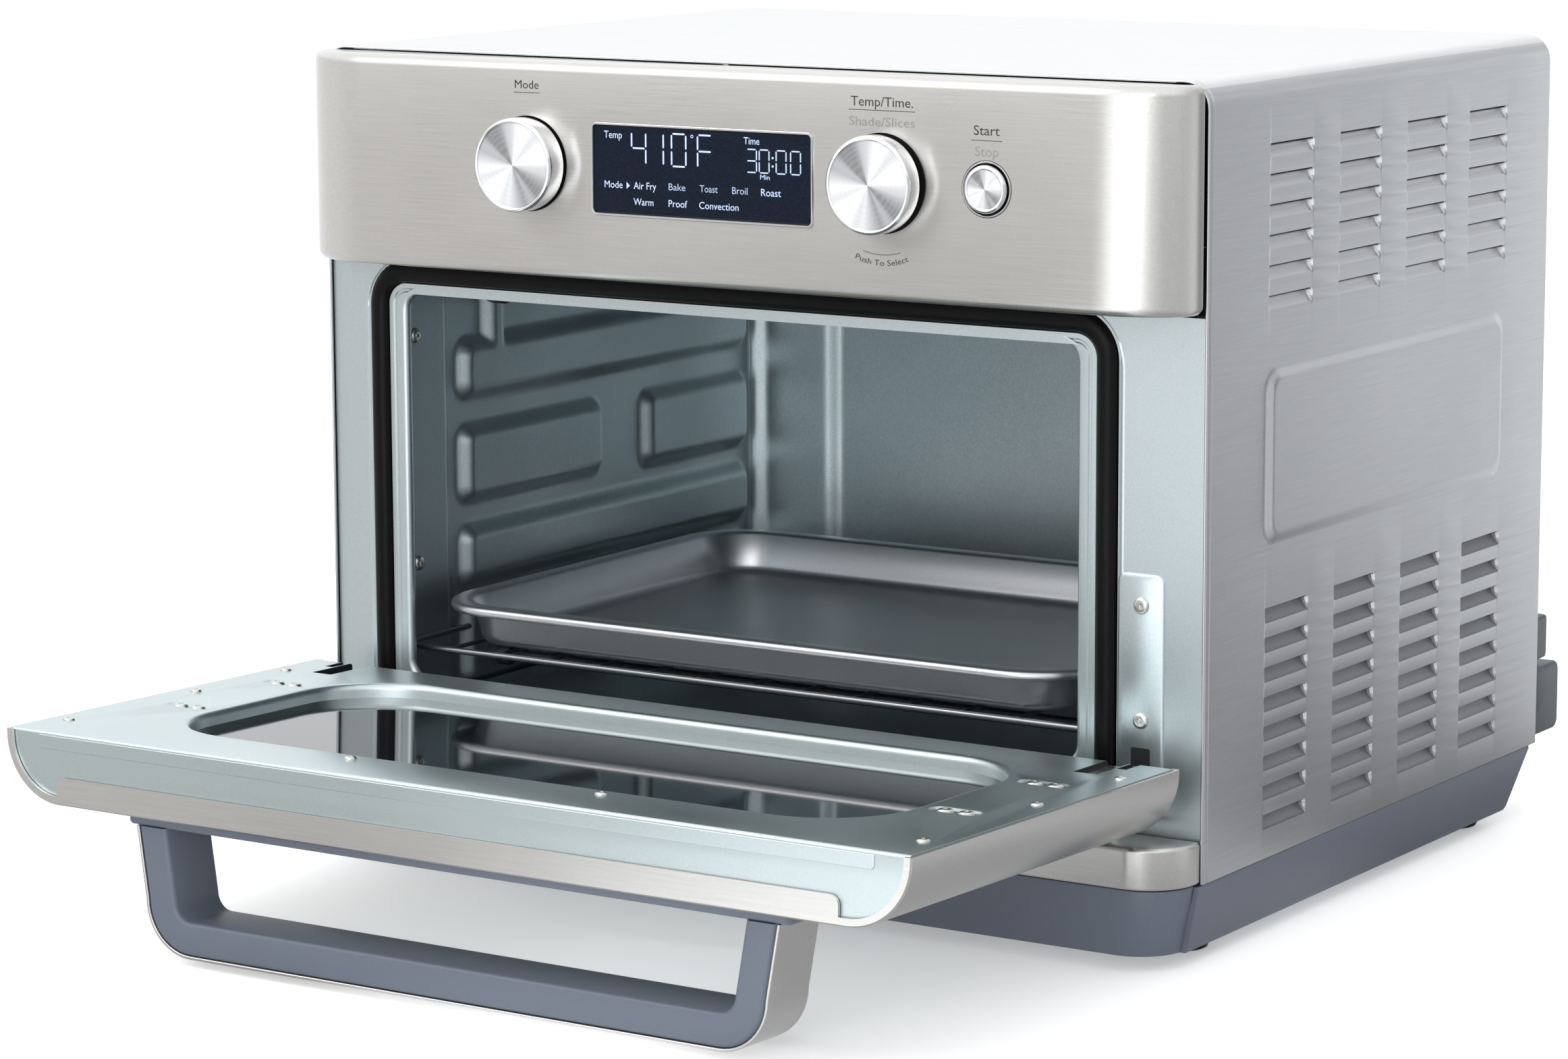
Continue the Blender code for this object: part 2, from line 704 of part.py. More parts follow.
def make_side_skirt(name, side):
    """A drafted side board with a raked rear end."""
    top, low = SKIRT_Z[1] - 0.0004, SKIRT_Z[0]
    out_top, out_low = CAB_HALF - 0.0002, CAB_HALF - SKIRT_DRAFT
    front = (-0.0024, -0.0024)
    rear = (0.333, 0.318)
    data = bmesh.new()
    loops = []
    for x_top, x_low in ((out_top, out_low), (out_top - SKIRT_WALL, out_low - SKIRT_WALL)):
        loops.append(
            [
                (side * x_low, front[1], low),
                (side * x_low, rear[1], low),
                (side * x_top, rear[0], top),
                (side * x_top, front[0], top),
            ]
        )
    loft_into(data, loops)
    finish(name, data, "slate_plastic")


def make_rear():
    z = (0.001, CAB_HEIGHT - CAB_SHEET - 0.001)
    rear = (REAR_Y, REAR_Y + 0.0012)
    outline = rounded((-FRAME_HALF, FRAME_HALF), z, CAB_BEND)
    prism("rear_panel", outline, "Y", *rear, "aluminised_steel")
    start = rear[1] + GAP
    for side, name in ((-1, "left"), (1, "right")):
        x = sorted((side * 0.186, side * 0.224))
        outline = rounded(x, (start, SPACER_BACK_Y), 0.0025)
        prism(f"rear_spacer_{name}", outline, "Z", 0.001, 0.034, "slate_plastic")
        x = sorted((side * 0.202, side * 0.224))
        outline = rounded(x, (start, BUMPER_BACK_Y), 0.0025)
        prism(f"rear_bumper_{name}", outline, "Z", 0.0375, 0.0585, "slate_plastic")
    inlet = [(0, GAP), (0.009, GAP), (0.009, 0.004), (0.006, 0.006), (0.005, 0.014), (0, 0.014)]
    place = (0.120, rear[1], 0.060)
    gland = turned("cord_gland", inlet, "black_plastic", place, "-Y", steps=24)
    gland.rotation_euler = (0, 0, math.pi)


def hinge_notches():
    """The slots at the bottom inner corner of the door that the fixed lugs turn in."""
    data = bmesh.new()
    for side in (-1, 1):
        x = sorted((side * (LUG_X[0] - 0.0009), side * (LUG_X[1] + 0.0009)))
        box_into(data, x, (-0.0322, 0.004), (0.018, HINGE_Z + 0.0080))
    return data


def make_door_shell():
    outline = bowed(DOOR_HALF, DOOR_FRONT_Y, DOOR_INNER_Y - 0.0005, DOOR_RADIUS)
    shell = prism("door_outer_shell", outline, "Z", *DOOR_Z, "brushed_stainless", DOOR)
    inner = dict(half=DOOR_HALF - DOOR_SKIN, front=DOOR_FRONT_Y + DOOR_SKIN)
    radius = DOOR_RADIUS - DOOR_SKIN
    hollow = bmesh.new()
    outline = bowed(inner["half"], inner["front"], 0.004, radius)
    prism_into(hollow, outline, "Z", *inset(DOOR_Z, DOOR_SKIN))
    cutter(shell, hollow)
    ends = bmesh.new()
    outline = bowed(inner["half"], inner["front"], 0.004, radius, DOOR_LIP_Y)
    prism_into(ends, outline, "Z", *inset(DOOR_Z, -0.002))
    cutter(shell, ends)
    window = bmesh.new()
    x = (-OUTER_WINDOW_X, OUTER_WINDOW_X)
    through = (DOOR_FRONT_Y - 0.004, DOOR_FRONT_Y + 0.004)
    prism_into(window, rounded(x, OUTER_WINDOW_Z, 0.012), "Y", *through)
    cutter(shell, window)
    cutter(shell, hinge_notches())


def make_door_inner():
    half = DOOR_HALF - DOOR_SKIN - GAP
    front = DOOR_FRONT_Y + DOOR_SKIN + GAP
    radius = DOOR_RADIUS - DOOR_SKIN - GAP
    lip = DOOR_LIP_Y + GAP
    outline = bowed(half, front, DOOR_INNER_Y, radius, lip)
    span = (DOOR_Z[0] + 0.0004, DOOR_Z[1] + 0.0002)
    inner = prism("door_inner_panel", outline, "Z", *span, "aluminised_steel", DOOR)
    sheet = INNER_SHEET
    hollow = bmesh.new()
    outline = bowed(half - sheet, front + sheet, DOOR_INNER_Y - sheet, radius - sheet)
    outline = [(x, y if y > front + sheet + 1e-6 else y - 0.004) for x, y in outline]
    prism_into(hollow, outline, "Z", *inset(span, sheet))
    cutter(inner, hollow)
    window = bmesh.new()
    through = (DOOR_INNER_Y - 0.004, DOOR_INNER_Y + 0.004)
    prism_into(window, rounded((-WINDOW_X, WINDOW_X), WINDOW_Z, WINDOW_RADIUS, 12), "Y", *through)
    cutter(inner, window)
    cutter(inner, hinge_notches())


def make_door_glass():
    box("door_inner_glass", (-0.186, 0.186), (-0.0130, -0.0090), (0.044, 0.209), "clear_glass", DOOR)
    box("door_outer_glass", (-0.172, 0.172), (-0.0315, -0.0275), (0.040, 0.192), "clear_glass", DOOR)


def bow(half, reach, radius, thick, start):
    """The handle's section as an outer and an inner path, from its left root to its right root."""
    paths = []
    for less in (0, thick):
        side, far, bend = half - less, reach - less, max(radius - less, 0.006)
        low = side - HANDLE_TAPER
        paths.append(
            [(-side, start)]
            + arc((-low + bend, -far + bend), bend, 180, 270)
            + arc((low - bend, -far + bend), bend, 270, 360)
            + [(side, start)]
        )
    return paths


def make_handle():
    root = DOOR_FRONT_Y - GAP
    base_y = (root - HANDLE_BASE, root)
    x = (-HANDLE_BASE_HALF, HANDLE_BASE_HALF)
    box("handle_base", x, base_y, HANDLE_Z, "slate_plastic", DOOR)
    start = base_y[0] - GAP
    reach = HANDLE_REACH - DOOR_FRONT_Y
    outer, inner = bow(HANDLE_HALF, reach, HANDLE_RADIUS, HANDLE_THICK, start)
    finish(
        "handle_grip",
        sheet_strip(outer, inner, "Z", *HANDLE_Z),
        "slate_plastic",
        parent=DOOR,
    )
    grow = GAP + BAND_SHEET
    outer, inner = bow(HANDLE_HALF + grow, reach + grow, HANDLE_RADIUS + grow, BAND_SHEET, start)
    finish(
        "handle_band",
        sheet_strip(outer, inner, "Z", *HANDLE_Z),
        "brushed_stainless",
        parent=DOOR,
    )


def make_hinge(side, name):
    """A lug and pin on the cabinet, and the knuckle on the door that turns on the pin."""
    x = sorted((side * LUG_X[0], side * LUG_X[1]))
    z = (HINGE_Z - LUG_HALF, HINGE_Z + LUG_HALF)
    data = bmesh.new()
    box_into(data, x, (HINGE_Y - LUG_HALF, FRAME_Y - GAP), z)
    lug = finish(f"hinge_lug_{name}", data, "chrome")
    pin = bmesh.new()
    ends = sorted((side * (LUG_X[0] + 0.001), side * (KNUCKLE_X[0] - 0.001)))
    cylinder_into(pin, (HINGE_Y, HINGE_Z), PIN_RADIUS, "X", *ends)
    cutter(lug, pin, "UNION")
    x = sorted((side * KNUCKLE_X[0], side * KNUCKLE_X[1]))
    data = bmesh.new()
    box_into(data, x, (-0.0320, -0.0050), (0.0264, 0.0500))
    knuckle = finish(f"hinge_knuckle_{name}", data, "chrome", parent=DOOR)
    bore = bmesh.new()
    ends = (x[0] - 0.002, x[1] + 0.002)
    cylinder_into(bore, (HINGE_Y, HINGE_Z), PIN_RADIUS + GAP, "X", *ends)
    cutter(knuckle, bore)


def add_empty(name, place, parent):
    empty = bpy.data.objects.new(name, None)
    bpy.context.scene.collection.objects.link(empty)
    empty.location = place
    empty.parent = parent
    return empty


def make_door():
    make_door_shell()
    make_door_inner()
    make_door_glass()
    make_handle()


clear_scene()
make_materials()
ROOT = add_empty("oven_root", (0, DATUM_Y, DATUM_Z), None)
HINGE = add_empty("door_hinge_axis", (0, HINGE_Y, HINGE_Z), ROOT)
HINGE.rotation_euler = (DOOR_OPEN, 0, 0)
DOOR = add_empty("door_closed_frame", (0, -HINGE_Y, -HINGE_Z), HINGE)
make_wrapper()
make_front_frame()
make_cavity()
make_elements()
make_sensor()
make_rack()
make_crumb_tray()
make_pan()
make_control_panel()
make_display()
make_knobs()
make_start_button()
make_electrics()
make_base()
make_rear()
make_door()
make_hinge(-1, "left")
make_hinge(1, "right")
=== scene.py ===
"""The looks of a toaster oven with its door open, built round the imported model.

Pieces are drawn in the datum frame: x = 0 is the middle, y = 0 the wrapper's front edge and z = 0
its bottom edge. The door's pieces are drawn closed and then swung open.
"""

import json
import math

import bmesh
import bpy
from mathutils import Matrix, Vector


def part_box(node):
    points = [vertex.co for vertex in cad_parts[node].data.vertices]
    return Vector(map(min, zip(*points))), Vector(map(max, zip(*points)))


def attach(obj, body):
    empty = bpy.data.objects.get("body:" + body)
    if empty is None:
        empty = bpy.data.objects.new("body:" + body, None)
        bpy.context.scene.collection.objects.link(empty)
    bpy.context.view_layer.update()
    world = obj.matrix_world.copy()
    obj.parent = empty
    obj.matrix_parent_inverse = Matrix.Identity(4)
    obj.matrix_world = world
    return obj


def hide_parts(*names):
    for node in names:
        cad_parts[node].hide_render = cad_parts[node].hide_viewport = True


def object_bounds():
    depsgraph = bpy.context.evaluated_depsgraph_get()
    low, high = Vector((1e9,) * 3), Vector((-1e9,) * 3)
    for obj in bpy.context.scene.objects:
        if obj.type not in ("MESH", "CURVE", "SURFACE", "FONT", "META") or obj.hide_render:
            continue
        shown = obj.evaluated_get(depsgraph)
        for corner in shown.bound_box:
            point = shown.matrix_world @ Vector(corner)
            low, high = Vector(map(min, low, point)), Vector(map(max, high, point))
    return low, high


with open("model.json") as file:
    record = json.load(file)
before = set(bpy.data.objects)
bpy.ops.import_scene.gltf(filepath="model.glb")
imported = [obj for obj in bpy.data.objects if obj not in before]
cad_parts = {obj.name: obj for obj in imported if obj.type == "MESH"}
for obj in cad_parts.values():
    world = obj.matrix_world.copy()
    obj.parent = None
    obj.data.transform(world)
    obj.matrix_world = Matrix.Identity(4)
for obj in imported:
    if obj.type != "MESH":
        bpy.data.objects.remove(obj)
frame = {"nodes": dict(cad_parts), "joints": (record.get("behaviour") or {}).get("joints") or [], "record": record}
CAD_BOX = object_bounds()

# The datum, the door's hinge and the angle that it stands open, from the frame
SHELL_LOW, SHELL_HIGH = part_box("outer_wrapper")
DATUM = Vector((0, SHELL_LOW.y, SHELL_LOW.z))
JOINTS = {joint["name"]: joint for joint in frame["joints"]}
HINGE = Vector(JOINTS["door_hinge"]["pos_m"])
DOOR_OPEN = math.radians(JOINTS["door_hinge"]["range_deg"][1])


def spans(node):
    """A node's x, y and z spans in the datum frame."""
    low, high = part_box(node)
    return [(a, b) for a, b in zip(low - DATUM, high - DATUM)]


# Cabinet
EMBOSS_BASE = 0.0022
SHELL_HALF = SHELL_HIGH.x - EMBOSS_BASE - 0.0003
SHELL_TOP = SHELL_HIGH.z - SHELL_LOW.z
SHELL_DEPTH = SHELL_HIGH.y - SHELL_LOW.y
SHELL_BEND = 0.012
SHEET = 0.0012
HEM = 0.0037
LOUVRE_Y = (0.054, 0.119, 0.185, 0.249)
LOUVRE_LENGTH = 0.0405
LOUVRE_PITCH = 0.0128
LOUVRE_GROUPS = ((0.306, 6), (0.109, 8))
LOUVRE_SECTION = ((0.0, 0.0033), (0.0016, 0.0031), (0.0034, 0.0023), (0.0052, 0.0010), (0.0066, 0.0))
# Below this height the louvres' pressed slopes take a dark material: painted shade
LOUVRE_SHADED_BELOW = 0.12
LOUVRE_ENDS = ((0.0, 0.0), (0.0004, 0.55), (0.0009, 0.90), (0.0016, 1.0))
EMBOSS_Y = (0.051, 0.289)
EMBOSS_Z = (0.1355, 0.2115)
EMBOSS_BEVEL = 0.0055
EMBOSS_CORNER = 0.011

# Front frame, gasket and cavity
FRAME_Y = 0.002
FRAME_X, _, FRAME_Z = spans("front_frame")
OPENING_X = (-0.1854, 0.1662)
OPENING_Z = (0.045, 0.2235)
OPENING_RADIUS = 0.008
GASKET_X, GASKET_Y, GASKET_Z = spans("door_gasket")
GASKET_RADIUS = 0.020
GASKET_WIDTH = 0.0096
CAVITY_X = (spans("cavity_wall_left")[0][0] + 0.001, spans("cavity_wall_right")[0][1] - 0.001)
CAVITY_Y = spans("cavity_wall_left")[1]
CAVITY_Z = (0.023, 0.227)
PAD_RISE = 0.0055

# Control panel
PANEL_X, PANEL_Y, PANEL_Z = spans("control_panel")
PANEL_FRONT = PANEL_Y[0]
PANEL_BEND = 0.0232
PANEL_REACH = 1.7
DISPLAY_X, _, DISPLAY_Z = spans("display_bezel")
MODE_AT = Vector(JOINTS["mode_turn"]["pos_m"]) - DATUM
TEMP_AT = Vector(JOINTS["temperature_turn"]["pos_m"]) - DATUM
START_X, _, START_Z = spans("start_button")
START_AT = Vector((sum(START_X) / 2, 0, sum(START_Z) / 2))
SCREEN_SUNK = 0.0011

# Door, closed
DOOR_HALF = 0.2265
DOOR_FRONT = -0.034
DOOR_INNER = -0.003
DOOR_Z = (0.0243, 0.2373)
DOOR_BEND = 0.029
DOOR_SKIN = 0.0015
WINDOW_X = (-0.178, 0.178)
WINDOW_Z = (0.054, 0.199)
WINDOW_RADIUS = 0.040
OUTER_WINDOW_X = (-0.160, 0.160)
OUTER_WINDOW_Z = (0.048, 0.184)
OUTER_WINDOW_RADIUS = 0.012
HANDLE_Z = (0.1985, 0.2285)
HANDLE_BASE_HALF = 0.167
HANDLE_HALF = 0.1605
HANDLE_TAPER = 0.005
HANDLE_REACH = 0.0585
HANDLE_BEND = 0.022
HANDLE_THICK = 0.0145
BAND = 0.0012

CORNER_STEPS = 8
GAP = 0.0003
MATERIALS = {}


# ---------------------------------------------------------------- materials


def blank(name, colour, metallic, roughness, **uniform):
    """A material with a Principled shader whose uniform values sit on its own sockets."""
    made = bpy.data.materials.new(name)
    made.use_nodes = True
    shader = made.node_tree.nodes["Principled BSDF"]
    shader.inputs["Base Color"].default_value = (*colour, 1.0)
    shader.inputs["Metallic"].default_value = metallic
    shader.inputs["Roughness"].default_value = roughness
    for socket, value in uniform.items():
        shader.inputs[socket.replace("_", " ")].default_value = value
    MATERIALS[name] = made
    return made, shader


def noise(made, stretch, detail=3.0, kind="ShaderNodeTexNoise"):
    """A noise in the object's own space; stretch is its cells per metre along x, y and z."""
    nodes, links = made.node_tree.nodes, made.node_tree.links
    place = nodes.new("ShaderNodeTexCoord")
    scale = nodes.new("ShaderNodeMapping")
    scale.inputs["Scale"].default_value = stretch
    links.new(place.outputs["Object"], scale.inputs["Vector"])
    texture = nodes.new(kind)
    texture.inputs["Scale"].default_value = 1.0
    if "Detail" in texture.inputs:
        texture.inputs["Detail"].default_value = detail
    links.new(scale.outputs["Vector"], texture.inputs["Vector"])
    return texture.outputs["Fac"] if "Fac" in texture.outputs else texture.outputs["Distance"]


def spread(made, source, low, high, start=0.3, end=0.7):
    """Maps a noise from start..end to low..high."""
    node = made.node_tree.nodes.new("ShaderNodeMapRange")
    node.inputs["From Min"].default_value = start
    node.inputs["From Max"].default_value = end
    node.inputs["To Min"].default_value = low
    node.inputs["To Max"].default_value = high
    made.node_tree.links.new(source, node.inputs["Value"])
    return node.outputs["Result"]


def tint(made, factor, first, second):
    """Mixes two colours, or a colour and an earlier mix, by a factor."""
    node = made.node_tree.nodes.new("ShaderNodeMix")
    node.data_type = "RGBA"
    made.node_tree.links.new(factor, node.inputs["Factor"])
    for socket, value in (("A_Color", first), ("B_Color", second)):
        target = next(item for item in node.inputs if item.identifier == socket)
        if isinstance(value, bpy.types.NodeSocket):
            made.node_tree.links.new(value, target)
        else:
            target.default_value = (*value, 1.0)
    return next(item for item in node.outputs if item.identifier == "Result_Color")


def relief(made, shader, source, height, strength):
    """Bumps as high as the source says, up to a height in metres."""
    node = made.node_tree.nodes.new("ShaderNodeBump")
    node.inputs["Distance"].default_value = height
    node.inputs["Strength"].default_value = strength
    made.node_tree.links.new(source, node.inputs["Height"])
    made.node_tree.links.new(node.outputs["Normal"], shader.inputs["Normal"])


def shade(colour, factor):
    return tuple(min(1.0, part * factor) for part in colour)


def brushed(name, colour, along, roughness=0.30, contrast=0.05, stretched=False):
    """Brushed sheet: fine streaks along one axis over slow, cloudy changes."""
    made, shader = blank(name, colour, 1.0, roughness)
    if stretched:
        upright = made.node_tree.nodes.new("ShaderNodeCombineXYZ")
        upright.inputs["Z"].default_value = 1.0
        made.node_tree.links.new(upright.outputs["Vector"], shader.inputs["Tangent"])
        shader.inputs["Anisotropic"].default_value = 0.85
    streak = noise(made, [30 if axis == along else 1500 for axis in "xyz"], 2.0)
    cloud = noise(made, (9, 9, 9), 2.0)
    speck = noise(made, (1800, 1800, 1800), 1.0)
    low, high = shade(colour, 1 - contrast), shade(colour, 1 + contrast)
    mixed = tint(made, spread(made, streak, 0, 1), low, high)
    mixed = tint(made, spread(made, speck, 0, 0.35), mixed, shade(colour, 0.86))
    made.node_tree.links.new(mixed, shader.inputs["Base Color"])
    rough = spread(made, cloud, roughness * 0.75, roughness * 1.27, 0.0, 1.0)
    made.node_tree.links.new(rough, shader.inputs["Roughness"])
    relief(made, shader, streak, 0.00002, 0.35)


def coated(name, colour, roughness, speckle=0.10, metallic=1.0, grain=1400, bump=0.00002, **uniform):
    """Satin sheet or moulded surface: a fine speckle over slow, cloudy changes."""
    made, shader = blank(name, colour, metallic, roughness, **uniform)
    speck = noise(made, (grain, grain, grain), 2.0)
    cloud = noise(made, (14, 14, 14), 3.0)
    mixed = tint(
        made, spread(made, speck, 0, 1), shade(colour, 1 - speckle), shade(colour, 1 + speckle)
    )
    mixed = tint(made, spread(made, cloud, 0, 0.5), mixed, shade(colour, 1 - speckle * 0.8))
    made.node_tree.links.new(mixed, shader.inputs["Base Color"])
    rough = spread(made, cloud, roughness * 0.8, min(1.0, roughness * 1.25), 0.0, 1.0)
    made.node_tree.links.new(rough, shader.inputs["Roughness"])
    relief(made, shader, speck, bump, 0.4)
    return made, shader


def calculate(made, operation, *values):
    """A math node; each value is a number or another node's output."""
    node = made.node_tree.nodes.new("ShaderNodeMath")
    node.operation = operation
    for socket, value in zip(node.inputs, values):
        if isinstance(value, bpy.types.NodeSocket):
            made.node_tree.links.new(value, socket)
        else:
            socket.default_value = value
    return node.outputs[0]


def object_space(made):
    """The place in the object's own space, its x, y and z parts, and its distance from the origin."""
    nodes, links = made.node_tree.nodes, made.node_tree.links
    place = nodes.new("ShaderNodeTexCoord")
    parts = nodes.new("ShaderNodeSeparateXYZ")
    links.new(place.outputs["Object"], parts.inputs["Vector"])
    away = nodes.new("ShaderNodeVectorMath")
    away.operation = "LENGTH"
    links.new(place.outputs["Object"], away.inputs[0])
    return parts.outputs, away.outputs["Value"]


# Painted highlights on turned faces: wedges and finer streaks round the centre, as (times round, offset)
PAINTED_HIGHLIGHT_WEDGES = (2.0, -1.45)
PAINTED_HIGHLIGHT_STREAKS = (7.0, 0.6)
RINGS = 9000.0


def spun_with_painted_highlights(name, colour):
    """A face turned on a lathe: fine rings and a sheen drawn out across them, with bright and dark wedges and
    finer streaks painted into its colour as highlights.
    """
    made, shader = blank(name, colour, 0.55, 0.22, Anisotropic=0.8, Anisotropic_Rotation=0.25)
    nodes, links = made.node_tree.nodes, made.node_tree.links
    round_axis = nodes.new("ShaderNodeTangent")
    round_axis.direction_type = "RADIAL"
    round_axis.axis = "Y"
    links.new(round_axis.outputs["Tangent"], shader.inputs["Tangent"])
    parts, away = object_space(made)
    turn = calculate(made, "ARCTAN2", parts["Z"], parts["X"])
    painted_wedges = calculate(made, "COSINE", calculate(made, "MULTIPLY_ADD", turn, *PAINTED_HIGHLIGHT_WEDGES))
    painted_streaks = calculate(made, "COSINE", calculate(made, "MULTIPLY_ADD", turn, *PAINTED_HIGHLIGHT_STREAKS))
    rings = calculate(made, "SINE", calculate(made, "MULTIPLY", away, RINGS))
    # Painted highlight: bright and dark wedges, then finer streaks, in the colour; they turn with the knob
    mixed = tint(made, spread(made, painted_wedges, 0, 1, -0.9, 0.3), shade(colour, 0.36), shade(colour, 1.25))
    mixed = tint(made, spread(made, painted_streaks, 0, 0.55, 0.2, 1.0), mixed, shade(colour, 0.86))
    mixed = tint(made, spread(made, rings, 0, 0.15, -1, 1), mixed, shade(colour, 0.8))
    links.new(mixed, shader.inputs["Base Color"])


def board(name):
    """A green circuit board with paler tracks."""
    made, shader = blank(name, (0.03, 0.16, 0.07), 0.0, 0.4)
    track = noise(made, (260, 260, 260), 0.0, "ShaderNodeTexVoronoi")
    mixed = tint(made, spread(made, track, 0, 1, 0.15, 0.25), (0.10, 0.30, 0.12), (0.02, 0.13, 0.05))
    made.node_tree.links.new(mixed, shader.inputs["Base Color"])
    relief(made, shader, track, 0.0002, 0.3)


def glowing(name, colour, light, strength):
    """A lit mark on the display."""
    _, shader = coated(name, colour, 0.5, 0.1, metallic=0.0)
    shader.inputs["Emission Color"].default_value = (*light, 1.0)
    shader.inputs["Emission Strength"].default_value = strength


def make_materials():
    brushed("steel_panel", (0.66, 0.645, 0.62), "x", 0.27, stretched=True)
    brushed("steel_side", (0.565, 0.57, 0.585), "y", 0.30)
    # The wrapper's top takes a paler copy of the side steel: painted light on the top
    brushed("steel_top", (0.72, 0.72, 0.72), "y", 0.28)
    brushed("steel_door", (0.66, 0.65, 0.63), "x", 0.30)
    coated("aluminised", (0.60, 0.665, 0.685), 0.36, 0.07)
    coated("aluminised_inside", (0.50, 0.575, 0.60), 0.40, 0.13)
    coated("door_liner", (0.57, 0.645, 0.655), 0.33, 0.05)
    moulded = {"metallic": 0.0, "grain": 2200, "bump": 0.00004}
    coated("slate", (0.094, 0.110, 0.142), 0.42, 0.08, **moulded)
    # A darker copy of the slate for the rear spacers and bumpers: painted shade
    coated("dark_slate", (0.034, 0.042, 0.056), 0.42, 0.08, **moulded)
    dull = {"metallic": 0.0, "Specular_IOR_Level": 0.12}
    coated("rubber", (0.0035, 0.0035, 0.004), 0.32, 0.5, grain=1600, bump=0.0001, **dull)
    coated("black_gloss", (0.0060, 0.0098, 0.0190), 0.12, 0.45, bump=0.000002, **dull)
    coated("black_plastic", (0.012, 0.012, 0.013), 0.5, 0.2, metallic=0.0, Specular_IOR_Level=0.2)
    coated("door_glass", (0.006, 0.007, 0.008), 0.04, 0.2, metallic=0.0, bump=0.0000005, Coat_Weight=0.4)
    coated("chrome", (0.80, 0.80, 0.81), 0.12, 0.04, bump=0.000002)
    coated("screw", (0.66, 0.65, 0.62), 0.24, 0.08)
    # A dark steel for the pressed slopes of the lower louvres: painted shade
    coated("louvre_slope_painted_shade", (0.22, 0.225, 0.235), 0.42, 0.12)
    coated("rack_steel", (0.34, 0.35, 0.36), 0.30, 0.08)
    coated("pan_steel", (0.60, 0.60, 0.615), 0.34, 0.05)
    coated("sheath", (0.13, 0.13, 0.135), 0.45, 0.25, grain=500)
    coated("ink", (0.022, 0.022, 0.024), 0.6, 0.1, metallic=0.0)
    coated("pale_ink", (0.20, 0.20, 0.20), 0.6, 0.06, metallic=0.0)
    board("board")
    spun_with_painted_highlights("spun_face", (0.74, 0.75, 0.77))
    glowing("glow", (0.36, 0.44, 0.60), (0.48, 0.60, 0.86), 0.30)
    glowing("dim_glow", (0.24, 0.31, 0.44), (0.36, 0.46, 0.66), 0.24)


# ---------------------------------------------------------------- mesh helpers


def arc(centre, radius, start, end, steps=CORNER_STEPS):
    """Points on a circular arc, with its angles in degrees."""
    turns = [math.radians(start + (end - start) * i / steps) for i in range(steps + 1)]
    return [(centre[0] + radius * math.cos(a), centre[1] + radius * math.sin(a)) for a in turns]


def rounded(x, z, radius, steps=CORNER_STEPS):
    low_x, high_x = x[0] + radius, x[1] - radius
    low_z, high_z = z[0] + radius, z[1] - radius
    return (
        arc((high_x, low_z), radius, -90, 0, steps)
        + arc((high_x, high_z), radius, 0, 90, steps)
        + arc((low_x, high_z), radius, 90, 180, steps)
        + arc((low_x, low_z), radius, 180, 270, steps)
    )


def inset(span, amount):
    return (span[0] + amount, span[1] - amount)


def quarter(radius, steps=5):
    """How far a rounded edge lies inward and up at each step, from its foot to its side."""
    turns = [math.pi / 2 * i / steps for i in range(steps + 1)]
    return [(radius * (1 - math.sin(a)), radius * (1 - math.cos(a))) for a in turns]


def rounded_levels(low, high, bottom, top, steps=5):
    """(inset, height) pairs up a bar whose lower and upper edges are rounded."""
    levels = [(away, low + up) for away, up in quarter(bottom, steps)]
    return levels + [(away, high - up) for away, up in reversed(quarter(top, steps))]


def lift(outline, axis, height):
    """Puts a flat outline at a height along an axis: X takes (y, z), Y takes (x, z), Z takes (x, y)."""
    if axis == "X":
        return [(height, a, b) for a, b in outline]
    if axis == "Y":
        return [(a, height, b) for a, b in outline]
    return [(a, b, height) for a, b in outline]


def loft_into(data, loops, cap=(True, True), ring=False):
    """Joins loops of equally many points with quads, and closes the ends or joins the last to the first."""
    rings = [[data.verts.new(point) for point in loop] for loop in loops]
    count = len(rings[0])
    pairs = list(zip(rings, rings[1:]))
    if ring:
        pairs.append((rings[-1], rings[0]))
    for low, high in pairs:
        for i in range(count):
            j = (i + 1) % count
            data.faces.new((low[i], low[j], high[j], high[i]))
    if not ring and cap[0]:
        data.faces.new(rings[0])
    if not ring and cap[1]:
        data.faces.new(rings[-1])


def grid_into(data, rows, columns, point, skip=None):
    """Quads between every two rows and columns; point(row, column) gives a corner."""
    corners = [[data.verts.new(point(row, column)) for column in columns] for row in rows]
    for i in range(len(rows) - 1):
        for j in range(len(columns) - 1):
            if skip and skip(i, j):
                continue
            data.faces.new((corners[i][j], corners[i][j + 1], corners[i + 1][j + 1], corners[i + 1][j]))


def box_into(data, x, y, z, edge=0.0):
    """A box, with its upright edges rounded if edge is given."""
    outline = rounded(x, z, edge, 3) if edge else [(x[0], z[0]), (x[1], z[0]), (x[1], z[1]), (x[0], z[1])]
    loft_into(data, [lift(outline, "Y", y[0]), lift(outline, "Y", y[1])])


def revolve_into(data, profile, steps, centre=(0, 0, 0), facing="-Y"):
    """Turns (radius, height) points round an axis through centre. Heights run along facing."""
    turn = {
        "-Y": lambda r, h, a: (r * math.cos(a), -h, r * math.sin(a)),
        "Y": lambda r, h, a: (r * math.cos(a), h, r * math.sin(a)),
        "Z": lambda r, h, a: (r * math.cos(a), r * math.sin(a), h),
        "X": lambda r, h, a: (h, r * math.cos(a), r * math.sin(a)),
    }[facing]
    rings = []
    for radius, height in profile:
        count = steps if radius > 0 else 1
        points = [turn(radius, height, 2 * math.pi * i / steps) for i in range(count)]
        rings.append([data.verts.new(Vector(point) + Vector(centre)) for point in points])
    for low, high in zip(rings, rings[1:]):
        for i in range(steps):
            j = (i + 1) % steps
            corners = [low[i % len(low)], low[j % len(low)], high[j % len(high)], high[i % len(high)]]
            data.faces.new(list(dict.fromkeys(corners)))


